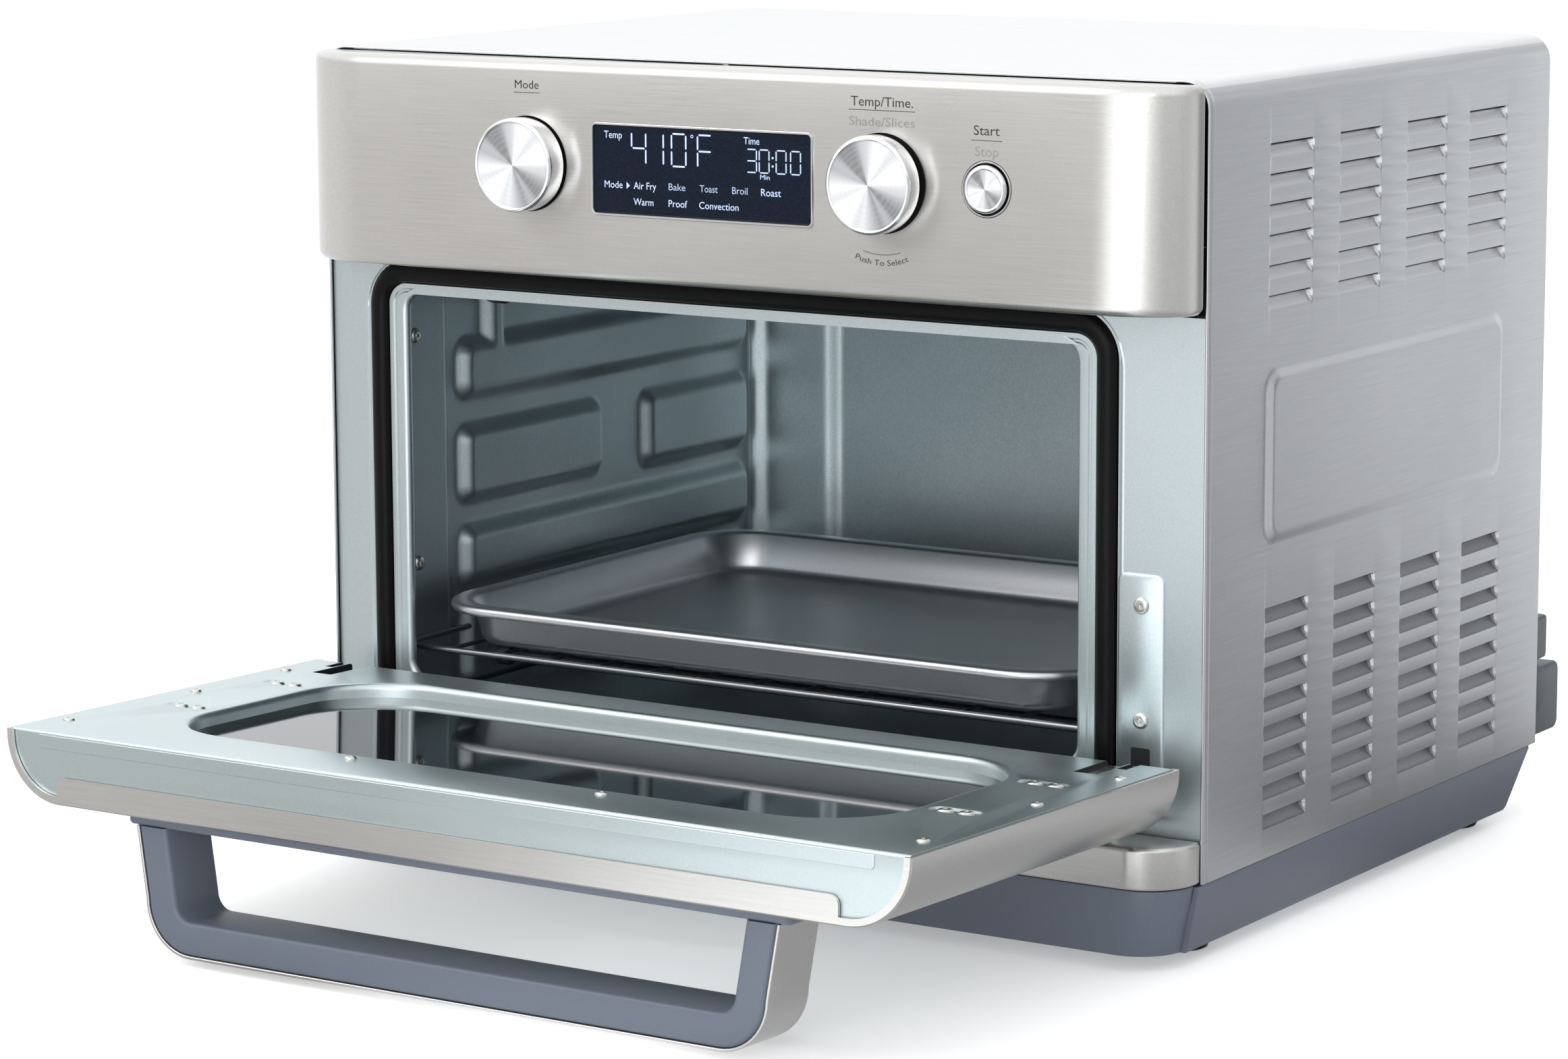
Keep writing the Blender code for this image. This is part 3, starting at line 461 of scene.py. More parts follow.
def tube_into(data, path, radius, steps=10):
    """A round wire along a path, with closed ends."""
    points = [Vector(p) for p in path]
    loops = []
    for i, point in enumerate(points):
        along = (points[min(i + 1, len(points) - 1)] - points[max(i - 1, 0)]).normalized()
        side = along.cross(Vector((0, 0, 1))).normalized()
        up = side.cross(along)
        turns = [2 * math.pi * k / steps for k in range(steps)]
        loops.append([point + radius * (math.cos(a) * side + math.sin(a) * up) for a in turns])
    loft_into(data, loops)


def add_object(name, data):
    obj = bpy.data.objects.new(name, data)
    bpy.context.scene.collection.objects.link(obj)
    return obj


def bevel(obj, width):
    change = obj.modifiers.new("edges", "BEVEL")
    change.width = width
    change.segments = 2
    change.limit_method = "ANGLE"
    change.angle_limit = math.radians(35)
    change.harden_normals = True


def thicken(obj, amount):
    """Gives a sheet its thickness on the inner side, and keeps large flat faces flat beside curved ones."""
    change = obj.modifiers.new("sheet", "SOLIDIFY")
    change.thickness = amount
    change.offset = -1.0
    change = obj.modifiers.new("flat_faces", "WEIGHTED_NORMAL")
    change.weight = 90
    change.keep_sharp = True


def carve(obj, data, colour=None):
    """Cuts a shape out of a piece at once; the cut takes the given material."""
    mesh = bpy.data.meshes.new("tool")
    bmesh.ops.recalc_face_normals(data, faces=data.faces)
    data.to_mesh(mesh)
    data.free()
    mesh.materials.append(MATERIALS[colour] if colour else obj.data.materials[0])
    tool = add_object("tool", mesh)
    tool.matrix_world = obj.matrix_world
    change = obj.modifiers.new("cut", "BOOLEAN")
    change.operation = "DIFFERENCE"
    change.solver = "EXACT"
    change.material_mode = "TRANSFER"
    change.object = tool
    bake(obj)
    bpy.data.objects.remove(tool)


def bake(obj):
    """Applies the piece's modifiers."""
    bpy.context.view_layer.update()
    graph = bpy.context.evaluated_depsgraph_get()
    mesh = bpy.data.meshes.new_from_object(obj.evaluated_get(graph), depsgraph=graph)
    obj.modifiers.clear()
    obj.data = mesh
    smooth(obj)


def smooth(obj, angle=38):
    obj.data.shade_smooth()
    obj.data.set_sharp_from_angle(angle=math.radians(angle))


def swing(data):
    """Turns what is drawn on the closed door to where the open door is."""
    centre = HINGE - DATUM
    turn = (
        Matrix.Translation(centre)
        @ Matrix.Rotation(DOOR_OPEN, 4, "X")
        @ Matrix.Translation(-centre)
    )
    bmesh.ops.transform(data, matrix=turn, verts=data.verts)


def piece(name, data, material, slot, body="cabinet", nodes=(), origin=None, merge=0.0, keep=False):
    """Finishes a piece: into the row frame, onto its body, with its material and its CAD nodes."""
    if merge:
        bmesh.ops.remove_doubles(data, verts=data.verts, dist=merge)
    if not keep:
        bmesh.ops.recalc_face_normals(data, faces=data.faces)
    if body == "door":
        swing(data)
    start = Vector(origin) if origin is not None else Vector((0, 0, 0))
    bmesh.ops.translate(data, verts=data.verts, vec=-start)
    mesh = bpy.data.meshes.new(name)
    data.to_mesh(mesh)
    data.free()
    for colour in [material] if isinstance(material, str) else material:
        mesh.materials.append(MATERIALS[colour])
    obj = add_object(name, mesh)
    obj.location = DATUM + start
    smooth(obj)
    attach(obj, body)
    if nodes:
        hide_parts(*nodes)
    return obj


def lofted(name, loops, *looks, ring=False, **where):
    """A piece that is one loft."""
    data = bmesh.new()
    loft_into(data, loops, ring=ring)
    return piece(name, data, *looks, **where)


def step(value):
    """0 below 0, 1 above 1, and a smooth rise between them."""
    value = min(1.0, max(0.0, value))
    return value * value * (3 - 2 * value)


def inside_by(y, z, span_y, span_z, corner):
    """How far a point lies inside a rounded rectangle; negative outside."""
    half_y, half_z = (span_y[1] - span_y[0]) / 2, (span_z[1] - span_z[0]) / 2
    away_y = abs(y - sum(span_y) / 2) - half_y + corner
    away_z = abs(z - sum(span_z) / 2) - half_z + corner
    outside = math.hypot(max(away_y, 0), max(away_z, 0)) + min(max(away_y, away_z), 0)
    return corner - outside


def steps_between(start, end, size):
    count = max(1, round((end - start) / size))
    return [start + (end - start) * i / count for i in range(count + 1)]


# ---------------------------------------------------------------- cabinet


def louvre_tops():
    return [top - i * LOUVRE_PITCH for top, count in LOUVRE_GROUPS for i in range(count)]


def along_louvre(y):
    """How fully a louvre is pressed in at y, from 0 at its ends to 1."""
    for start in LOUVRE_Y:
        gone = min(y - start, start + LOUVRE_LENGTH - y)
        if gone > -1e-6:
            for (near, low), (far, high) in zip(LOUVRE_ENDS, LOUVRE_ENDS[1:]):
                if gone <= far:
                    return low + (high - low) * (gone - near) / (far - near)
            return 1.0
    return 0.0


def in_louvre(point):
    """Whether a point on the side wall lies on the pressed slope of a lower louvre, whose dark material is painted
    shade.
    """
    if point.z > LOUVRE_SHADED_BELOW or along_louvre(point.y) < 0.3:
        return False
    return any(0 < top - point.z < LOUVRE_SECTION[-1][0] for top in louvre_tops())


def pad_height(y, z):
    return EMBOSS_BASE * step(inside_by(y, z, EMBOSS_Y, EMBOSS_Z, EMBOSS_CORNER) / EMBOSS_BEVEL)


def side_rows():
    """The side wall's heights from its bend down to its foot, as (z, louvre depth, slit below)."""
    rows = [(z, 0.0, False) for z in (SHELL_TOP - SHELL_BEND, 0.0)]
    for top in louvre_tops():
        rows.append((top, 0.0, True))
        rows += [(top - drop - 1e-7, depth, False) for drop, depth in LOUVRE_SECTION]
    low, high = EMBOSS_Z
    rim = 0.014
    for z in steps_between(low, low + rim, 0.0011) + steps_between(high - rim, high, 0.0011):
        rows.append((z, 0.0, False))
    return sorted(rows, key=lambda row: -row[0])


def wrapper_columns():
    columns = {0.0, 0.0003, 0.0008, 0.0014, HEM - 0.0004, HEM, HEM + 0.0004, HEM + 0.0008, SHELL_DEPTH}
    for start in LOUVRE_Y:
        for gone, _ in LOUVRE_ENDS:
            columns |= {start + gone, start + LOUVRE_LENGTH - gone}
    for y in steps_between(EMBOSS_Y[0], EMBOSS_Y[0] + 0.014, 0.0013):
        columns |= {y, sum(EMBOSS_Y) - y}
    return sorted(columns)


def hem_drop(y):
    """How far the rolled front hem turns in, with the fine line behind it."""
    if y < 0.0014:
        return 0.0012 * (1 - math.sqrt(max(0.0, 1 - (1 - y / 0.0014) ** 2)))
    return 0.00035 if abs(y - HEM - 0.0002) < 0.0003 else 0.0


def make_wrapper():
    """One bent sheet with its pressed pads and louvres, drawn as a grid from foot to foot."""
    half, bend = SHELL_HALF, SHELL_BEND
    rows = side_rows()
    section = [("side", -1, row) for row in reversed(rows)]
    corner = arc((-half + bend, SHELL_TOP - bend), bend, 180, 90, 8)[1:]
    section += [("top", (x, z), (-half + bend, SHELL_TOP - bend)) for x, z in corner]
    corner = arc((half - bend, SHELL_TOP - bend), bend, 90, 0, 8)[:-1]
    section += [("top", (x, z), (half - bend, SHELL_TOP - bend)) for x, z in corner]
    section += [("side", 1, row) for row in rows]
    columns = wrapper_columns()

    def point(row, y):
        drop = hem_drop(y)
        if row[0] == "side":
            z, depth, _ = row[2]
            out = half - depth * along_louvre(y) + pad_height(y, z) - drop
            return (row[1] * out, y, z)
        (x, z), (centre_x, centre_z) = row[1], row[2]
        normal = Vector((x - centre_x, z - centre_z)).normalized()
        return (x - drop * normal.x, y, z - drop * normal.y)

    def slit(i, j):
        pair = section[i], section[i + 1]
        if pair[0][0] != "side" or pair[1][0] != "side":
            return False
        upper = pair[0] if pair[0][1] == 1 else pair[1]
        middle = (columns[j] + columns[j + 1]) / 2
        return upper[2][2] and along_louvre(middle) > 0

    data = bmesh.new()
    grid_into(data, section, columns, point, slit)
    bmesh.ops.dissolve_degenerate(data, edges=data.edges, dist=2e-7)
    wrapper = piece(
        "outer_wrapper_sheet", data, ["steel_side", "steel_top", "louvre_slope_painted_shade"], "brushed_stainless",
        nodes=["outer_wrapper"], merge=3e-7,
    )
    # Faces on the top take the paler copy of the steel: painted light on the top
    for face in wrapper.data.polygons:
        if face.normal.z > 0.75 or face.normal.z < -0.75:
            on_top = abs(face.center.x) < half - bend * 0.3 and face.center.z > SHELL_TOP - bend
            face.material_index = 1 if on_top else 0
        # Slopes of the lower louvres take the dark material: painted shade
        elif in_louvre(face.center):
            face.material_index = 2
    thicken(wrapper, 0.0009)
    # A black sheet behind the louvres' slits: painted shade inside the cabinet
    painted_shade_sheet = bmesh.new()
    for side in (-1, 1):
        x = sorted((side * (half - 0.0046), side * (half - 0.0042)))
        for top, count in LOUVRE_GROUPS:
            z = (top - (count - 1) * LOUVRE_PITCH - 0.008, top + 0.004)
            box_into(painted_shade_sheet, x, (0.045, 0.297), z)
    piece("louvre_painted_shade_linings", painted_shade_sheet, "black_plastic", "black_plastic")


def make_front_frame():
    """The pressed plate round the oven's mouth: rolled edge, lip, gasket groove and outer line."""

    def loop(x, z, radius, y):
        return lift(rounded(x, z, radius, 10), "Y", y)

    def grown(span, amount):
        return (span[0] - amount, span[1] + amount)

    loops = []
    for out, y in ((0, 0.0056), (0, 0.0044), (0.0003, 0.0032), (0.0011, 0.0023), (0.0024, FRAME_Y)):
        loops.append(loop(grown(OPENING_X, out), grown(OPENING_Z, out), OPENING_RADIUS + out, y))
    inner_x, inner_z = inset(GASKET_X, GASKET_WIDTH), inset(GASKET_Z, GASKET_WIDTH)
    inner_radius = GASKET_RADIUS - GASKET_WIDTH
    step_line = ((0.0046, 0.0), (0.0040, 0.0005), (0.0032, 0.0005), (0.0026, 0.0), (0.0005, 0.0))
    for away, deep in step_line + ((-0.0002, 0.0032),):
        loops.append(loop(inset(inner_x, away), inset(inner_z, away), inner_radius - away, FRAME_Y + deep))
    outer_line = ((0.0006, 0.0), (0.0018, 0.0), (0.0022, -0.0003), (0.0030, -0.0003), (0.0036, 0.0))
    for away, deep in ((0.0002, 0.0032),) + outer_line:
        radius = GASKET_RADIUS + away * 2.2
        loops.append(loop(grown(GASKET_X, away), grown(GASKET_Z, away), radius, FRAME_Y + deep))
    outer = (max(FRAME_X[0], -0.2268), min(FRAME_X[1], 0.2268))
    loops.append(loop(outer, inset(FRAME_Z, 0.0008), 0.0006, FRAME_Y))
    loops.append(loop(outer, inset(FRAME_Z, 0.0004), 0.0004, FRAME_Y + 0.006))
    data = bmesh.new()
    loft_into(data, loops, cap=(False, False))
    frame_piece = piece("front_frame_pressing", data, "aluminised", "aluminised_steel", nodes=["front_frame"])
    thicken(frame_piece, 0.0006)

    loops = []
    for i in range(11):
        turn = math.pi * i / 10
        away = GASKET_WIDTH * (1 - math.cos(turn)) / 2
        y = FRAME_Y + 0.0010 - (FRAME_Y + 0.0010 - GASKET_Y[0]) * math.sin(turn) ** 0.8
        radius = GASKET_RADIUS - away
        loops.append(lift(rounded(inset(GASKET_X, away), inset(GASKET_Z, away), radius, 10), "Y", y))
    root = 0.0049
    loops.append(lift(rounded(inset(GASKET_X, away), inset(GASKET_Z, away), radius, 10), "Y", root))
    loops.append(lift(rounded(GASKET_X, GASKET_Z, GASKET_RADIUS, 10), "Y", root))
    lofted("gasket_tube", loops, "rubber", "black_rubber", nodes=["door_gasket"], ring=True)


def screw_into(data, centre, radius, facing, height=0.0014):
    """A pan-head screw with a round recess, standing on the plane through centre."""
    profile = (
        (1.0, 0.0), (0.97, 0.45), (0.80, 0.85), (0.52, 1.0), (0.34, 0.98), (0.30, 0.45), (0.0, 0.3),
    )
    revolve_into(data, [(radius * out, height * up) for out, up in profile], 20, centre, facing)


def make_hinge_plate():
    """The plate beside the mouth that carries the right hinge, with its rivets and its slot."""
    plate, rivets, dark = bmesh.new(), bmesh.new(), bmesh.new()
    x, z, corner = (0.1868, 0.2085), (0.0300, 0.1290), 0.004
    rivet_x, rivet_heights = 0.1981, (0.1156, 0.0665)
    outline = rounded(x, z, corner, 5)
    edge = 0.0006
    shrunk = rounded(inset(x, edge), inset(z, edge), corner - edge, 5)
    levels = ((outline, 0.0004), (outline, -0.0006), (shrunk, -0.0010))
    loft_into(plate, [lift(shape, "Y", FRAME_Y + away) for shape, away in levels])
    for height in rivet_heights:
        screw_into(rivets, (rivet_x, FRAME_Y - 0.0010, height), 0.0036, "-Y", 0.0012)
    # The slot is a black patch on the plate: painted shade in the slot
    slot_x, slot_z = inset((rivet_x, rivet_x), -0.0045), (0.047, 0.055)
    box_into(dark, slot_x, (FRAME_Y - 0.00115, FRAME_Y), slot_z, 0.0008)
    piece("hinge_plates", plate, "aluminised", "aluminised_steel")
    piece("hinge_plate_rivets", rivets, "screw", "chrome")
    piece("hinge_plate_slots_painted_shade", dark, "black_plastic", "black_plastic")


WALL_PADS = (
    ((0.063, 0.3130), (0.1625, 0.1955), 0.011),
    ((0.0825, 0.1035), (0.1700, 0.2600), 0.010),
    ((0.063, 0.184), (0.1135, 0.1545), 0.010),
    ((0.214, 0.3130), (0.1115, 0.1535), 0.010),
    ((0.063, 0.3130), (0.0735, 0.1065), 0.010),
    ((0.063, 0.3130), (0.0260, 0.0700), 0.010),
)
WALL_BEVEL = 0.0080
WALL_FLANGE = 0.0035


def wall_rise(y, z):
    """How far a side wall stands into the cavity: a front flange and rounded pads with grooves between."""
    rise = 0.0
    for span_y, span_z, corner in WALL_PADS:
        rise = max(rise, PAD_RISE * step(inside_by(y, z, span_y, span_z, corner) / WALL_BEVEL))
    flange = WALL_FLANGE * (1 - step((y - 0.053) / 0.003))
    return max(rise, flange)


def make_cavity():
    """The pressed side walls, their screws, and the back wall with its recess and seams."""
    low, high = CAVITY_Z[0] - 0.001, CAVITY_Z[1] + 0.001
    rows = steps_between(low, high, 0.0016)
    columns = steps_between(CAVITY_Y[0] + 0.0090, 0.050, 0.008) + steps_between(0.0505, 0.110, 0.0016)
    columns += steps_between(0.112, 0.173, 0.006) + steps_between(0.1745, 0.228, 0.0016)
    columns += steps_between(0.232, 0.296, 0.006) + steps_between(0.298, 0.3145, 0.0015)
    columns.append(CAVITY_Y[1] - 0.0010)
    for name, inside, side in (("left", CAVITY_X[0], -1), ("right", CAVITY_X[1], 1)):
        data = bmesh.new()
        grid_into(data, rows, columns, lambda z, y: (inside - side * wall_rise(y, z), y, z))
        obj = piece(
            f"cavity_side_{name}", data, "aluminised_inside", "aluminised_steel",
            nodes=[f"cavity_wall_{name}"], keep=True,
        )
        if side == 1:
            obj.data.flip_normals()
        smooth(obj, 60)
        thicken(obj, 0.0006)
    screws = bmesh.new()
    for z in (0.200, 0.093):
        screw_into(screws, (CAVITY_X[0] + WALL_FLANGE, 0.029, z), 0.0036, "X", 0.0018)
    rivet = [(0.0045, 0), (0.0042, -0.0012), (0.0022, -0.0020), (0, -0.0020)]
    for x in (-0.130, 0.098):
        revolve_into(screws, rivet, 20, (x, 0.030, CAVITY_Z[1]), "Z")
    piece("cavity_screws", screws, "screw", "chrome")

    recess_x, recess_z = (-0.1619, 0.1427), (0.0339, 0.236)
    corner_rise, corner_width = 0.003, 0.009

    def back(z, x):
        sunk = step(inside_by(x, z, recess_x, recess_z, 0.034) / 0.0085)
        near = (1 - step(away / corner_width) for away in (x - CAVITY_X[0], CAVITY_X[1] - x))
        return (x, CAVITY_Y[1] + GAP - corner_rise * sum(near) + 0.0042 * sunk, z)

    data = bmesh.new()
    columns = steps_between(CAVITY_X[0] - 0.0005, -0.118, 0.0018) + steps_between(-0.110, 0.090, 0.012)
    columns += steps_between(0.100, CAVITY_X[1] + 0.0005, 0.0018)
    rows = steps_between(low, 0.072, 0.0018) + steps_between(0.080, 0.222, 0.012) + [high]
    grid_into(data, rows, columns, back)
    wall = piece("cavity_back_wall", data, "aluminised_inside", "aluminised_steel", nodes=["cavity_back"])
    thicken(wall, 0.0008)
    smooth(wall, 60)
    data = bmesh.new()
    for seam in (-0.1787, 0.1595):
        y = (CAVITY_Y[1] - 0.0001, CAVITY_Y[1] + 0.0020)
        box_into(data, inset((seam, seam), -0.0006), y, (0.026, 0.226))
    piece("cavity_seams", data, "black_plastic", "black_plastic")


def make_elements():
    """Sheathed heating rods with ceramic ends, on their CAD axes."""
    for level in ("top", "bottom"):
        for place in ("front", "rear"):
            name = f"element_{level}_{place}"
            (start, end), y, z = spans(name)
            centre = (0, sum(y) / 2, sum(z) / 2)
            radius = 0.0032
            cap = (y[1] - y[0]) / 2
            ceramic = (
                (0, 0), (cap * 0.9, 0), (cap, 0.0008), (cap, 0.011), (cap * 0.9, 0.012), (radius, 0.012),
            )
            profile = [(out, start + along) for out, along in ceramic]
            profile += [(radius, x) for x in steps_between(start + 0.02, end - 0.02, 0.03)]
            profile += [(out, end - along) for out, along in reversed(ceramic)]
            data = bmesh.new()
            revolve_into(data, profile, 24, centre, "X")
            piece(f"{name}_rod", data, "sheath", "element_sheath", nodes=[name])


def make_rack():
    """A chrome wire shelf: a round frame and cross wires."""
    x, y, z = spans("wire_rack")
    middle = sum(z) / 2
    frame_wire, cross_wire = 0.0015, 0.0011
    data = bmesh.new()
    edge_x, edge_y = inset(x, frame_wire), inset(y, frame_wire)
    loop = rounded(edge_x, edge_y, 0.012, 6)
    tube_into(data, [(a, b, middle) for a, b in loop + [loop[0]]], frame_wire)
    for i in range(1, 14):
        wire = edge_x[0] + (edge_x[1] - edge_x[0]) * i / 14
        ends = [(wire, edge_y[0], middle), (wire, sum(edge_y) / 2, middle), (wire, edge_y[1], middle)]
        tube_into(data, ends, cross_wire, 8)
    for cross in (y[0] + 0.09, y[1] - 0.09):
        tube_into(data, [(end, cross, middle) for end in (edge_x[0], 0, edge_x[1])], cross_wire, 8)
    piece("wire_shelf", data, "rack_steel", "chrome", nodes=["wire_rack"])


# ---------------------------------------------------------------- control panel


def bowed(half, front, back, radius, steps=14, reach=1.0):
    """A plan outline with a flat front and round front corners, reach times as long as they are deep."""
    bend = [(reach * a, b) for a, b in reversed(arc((0, front + radius), radius, -90, 0, steps))]
    start = half - reach * radius
    points = [(half, back)] + [(start + a, b) for a, b in bend]
    points += [(-start - a, b) for a, b in reversed(bend)]
    points.append((-half, back))
    return points


def rounded_bar(half, front, back, radius, span, edges, reach=1.0):
    """Loops of a bowed bar over a height span, with rounded lower and upper edges."""
    return [
        lift(bowed(half - less, front + less, back, radius - less, reach=reach), "Z", height)
        for less, height in rounded_levels(*span, *edges)
    ]


def disc_into(data, centre, radius, y, steps=64):
    points = arc((centre.x, centre.z), radius, 0, 360, steps)[:-1]
    loft_into(data, [lift(points, "Y", y[0]), lift(points, "Y", y[1])])


MODE_WELL = 0.0211
TEMP_WELL = 0.0213
START_WELL = 0.0120
BEHIND_PANEL = (
    "control_panel", "control_board", "start_switch", "mode_encoder", "temperature_encoder", "display_module",
)


def make_control_panel():
    """The bowed panel with wells for its controls, the shadow gap behind it and the flange above."""
    back = min(PANEL_Y[1], -0.0022)
    edges = (0.0042, 0.0040)
    shape = rounded_bar(PANEL_X[1], PANEL_FRONT, back, PANEL_BEND, PANEL_Z, edges, PANEL_REACH)
    panel = lofted("control_panel_shell", shape, "steel_panel", "brushed_stainless", nodes=BEHIND_PANEL)
    wells = bmesh.new()
    deep = (PANEL_FRONT - 0.004, PANEL_FRONT + 0.0036)
    for at, radius in ((MODE_AT, MODE_WELL), (TEMP_AT, TEMP_WELL), (START_AT, START_WELL)):
        disc_into(wells, at, radius, deep)
    screen = rounded(inset(DISPLAY_X, -0.0001), inset(DISPLAY_Z, -0.0001), 0.0029, 6)
    loft_into(wells, [lift(screen, "Y", height) for height in deep])
    # The wells' walls take black: painted shade in the gaps round the controls and the display
    carve(panel, wells, "black_plastic")

    # A black bar set back behind the panel: the dark line between panel and wrapper is painted shadow
    gap = rounded_bar(
        PANEL_X[1] - 0.0014, PANEL_FRONT + 0.006, -0.0002, 0.018, inset(PANEL_Z, 0.0016), (0.0010, 0.0010)
    )
    lofted("panel_shadow_gap", gap, "black_plastic", "black_plastic")
    data = bmesh.new()
    # The flange takes the paler top steel: painted light, as on the wrapper's top
    box_into(data, (-0.2120, 0.2120), (back - 0.0006, PANEL_Y[1]), (PANEL_Z[1] - 0.006, PANEL_Z[1] - 0.00005))
    piece("panel_top_flange", data, "steel_top", "brushed_stainless")


def make_screen():
    """The display's polished bezel and its glass."""
    front = PANEL_FRONT - 0.0010

    def level(less, radius, deep):
        return lift(rounded(inset(DISPLAY_X, less), inset(DISPLAY_Z, less), radius, 6), "Y", front + deep)

    bezel = [
        level(0, 0.0028, 0.0040), level(0, 0.0028, 0.0005), level(0.0003, 0.0025, 0),
        level(0.0009, 0.0021, 0), level(0.0012, 0.0018, 0.0004), level(0.0012, 0.0018, 0.0040),
    ]
    lofted("display_bezel_ring", bezel, "chrome", "chrome", nodes=["display_bezel"], ring=True)
    glass = [
        level(0.0013, 0.0017, 0.0038), level(0.0013, 0.0017, SCREEN_SUNK + 0.0003),
        level(0.0016, 0.0015, SCREEN_SUNK),
    ]
    lofted("display_glass", glass, "black_gloss", "black_gloss", nodes=["display_lens"])


FONT_CAP = 0.69


def lettering_into(data, text, centre, width, cap, y):
    """A word as a thin raised print, scaled to its width and cap height."""
    curve = bpy.data.curves.new("word", "FONT")
    curve.body = text
    curve.extrude = 0.012
    curve.offset = 0.0005
    curve.resolution_u = 3
    curve.fill_mode = "BOTH"
    word = add_object("word", curve)
    bpy.context.view_layer.update()
    graph = bpy.context.evaluated_depsgraph_get()
    mesh = bpy.data.meshes.new_from_object(word.evaluated_get(graph), depsgraph=graph)
    bpy.data.objects.remove(word)
    across = [v.co.x for v in mesh.vertices]
    stretch = width / (max(across) - min(across))
    middle = (max(across) + min(across)) / 2
    tall = cap / FONT_CAP
    letters = bmesh.new()
    letters.from_mesh(mesh)
    for vertex in letters.verts:
        x, up, out = vertex.co
        spot = (centre[0] + (x - middle) * stretch, centre[1] + (up - FONT_CAP / 2) * tall)
        vertex.co = (spot[0], y - 0.00003 - out * 0.002, spot[1])
    bmesh.ops.recalc_face_normals(letters, faces=letters.faces)
    letters.to_mesh(mesh)
    letters.free()
    data.from_mesh(mesh)
    bpy.data.meshes.remove(mesh)


def line_into(data, x, z, y, thick=0.00028):
    box_into(data, x, (y - 0.00006, y + 0.00004), (z - thick / 2, z + thick / 2))


def make_labels():
    """Plain function words printed over the controls."""
    y = PANEL_FRONT
    dark, pale = bmesh.new(), bmesh.new()
    lettering_into(dark, "Mode", (MODE_AT.x, 0.3237), 0.0128, 0.0036, y)
    line_into(dark, (MODE_AT.x - 0.0071, MODE_AT.x + 0.0071), 0.3201, y)
    lettering_into(dark, "Temp/Time.", (TEMP_AT.x, 0.3232), 0.0305, 0.0040, y)
    line_into(dark, (TEMP_AT.x - 0.0163, TEMP_AT.x + 0.0163), 0.3195, y)
    lettering_into(pale, "Shade/Slices", (TEMP_AT.x, 0.3148), 0.0322, 0.0038, y)
    lettering_into(dark, "Start", (START_AT.x, 0.3133), 0.0124, 0.0040, y)
    line_into(dark, (START_AT.x - 0.0074, START_AT.x + 0.0074), 0.3091, y)
    lettering_into(pale, "Stop", (START_AT.x, 0.3046), 0.0112, 0.0040, y)
    arched = bmesh.new()
    lettering_into(arched, "Push To Select", (0.0, 0.0), 0.0262, 0.0024, y)
    line_into(arched, (-0.0105, 0.0105), 0.0034, y, 0.00025)
    bmesh.ops.subdivide_edges(
        arched, edges=[edge for edge in arched.edges if edge.calc_length() > 0.004], cuts=12
    )
    radius = 0.0335
    for vertex in arched.verts:
        turn, out = vertex.co.x / radius, radius - vertex.co.z
        vertex.co.x = TEMP_AT.x + out * math.sin(turn)
        vertex.co.z = TEMP_AT.z - out * math.cos(turn)
    mesh = bpy.data.meshes.new("arched")
    arched.to_mesh(mesh)
    arched.free()
    dark.from_mesh(mesh)
    bpy.data.meshes.remove(mesh)
    piece("panel_print_dark", dark, "ink", "black_plastic", keep=True)
    piece("panel_print_pale", pale, "pale_ink", "black_plastic", keep=True)


# Which of a digit's seven bars are lit: top, upper right, lower right, bottom, lower left, upper left, middle
LIT_BARS = {
    "0": "1111110", "1": "0000110", "3": "1111001", "4": "0110011", "F": "1000111",
}
DISPLAY_WORDS = (
    ("Temp", -0.0497, 0.3037, 0.0094, 0.0031),
    ("Time", 0.0222, 0.3040, 0.0080, 0.0030),
    ("Min", 0.0290, 0.2888, 0.0048, 0.0020),
    ("Mode", -0.0496, 0.2821, 0.0095, 0.0030),
    ("Air Fry", -0.0331, 0.2821, 0.0118, 0.0031),
    ("Roast", 0.0320, 0.2823, 0.0101, 0.0031),
    ("Warm", -0.0339, 0.2751, 0.0104, 0.0030),
    ("Proof", -0.0159, 0.2752, 0.0097, 0.0030),
    ("Convection", 0.0053, 0.2752, 0.0203, 0.0030),
)
DIM_WORDS = (
    ("Bake", -0.0163, 0.2824, 0.0087, 0.0030),
    ("Toast", 0.0001, 0.2824, 0.0092, 0.0030),
    ("Broil", 0.0161, 0.2824, 0.0079, 0.0030),
)


def bar_into(data, start, end, y, thick):
    """One display bar with mitred ends."""
    along = Vector(end) - Vector(start)
    unit = along.normalized()
    side = Vector((-unit.y, unit.x)) * thick / 2
    nib = unit * thick / 2
    a, b = Vector(start), Vector(end)
    outline = [a, a + nib - side, b - nib - side, b, b - nib + side, a + nib + side]
    loft_into(data, [lift([(p.x, p.y) for p in outline], "Y", h) for h in (y - 0.00008, y + 0.00002)])


def digit_into(data, mark, centre, size, y, thick):
    half, tall = size[0] / 2, size[1] / 2
    ends = (
        ((-half, tall), (half, tall)), ((half, tall), (half, 0)), ((half, 0), (half, -tall)),
        ((-half, -tall), (half, -tall)), ((-half, 0), (-half, -tall)), ((-half, tall), (-half, 0)),
        ((-half, 0), (half, 0)),
    )
    for lit, (start, end) in zip(LIT_BARS[mark], ends):
        if lit == "1":
            pull = (Vector(end) - Vector(start)).normalized() * thick * 0.6
            first, last = Vector(start) + pull + Vector(centre), Vector(end) - pull + Vector(centre)
            bar_into(data, tuple(first), tuple(last), y, thick)


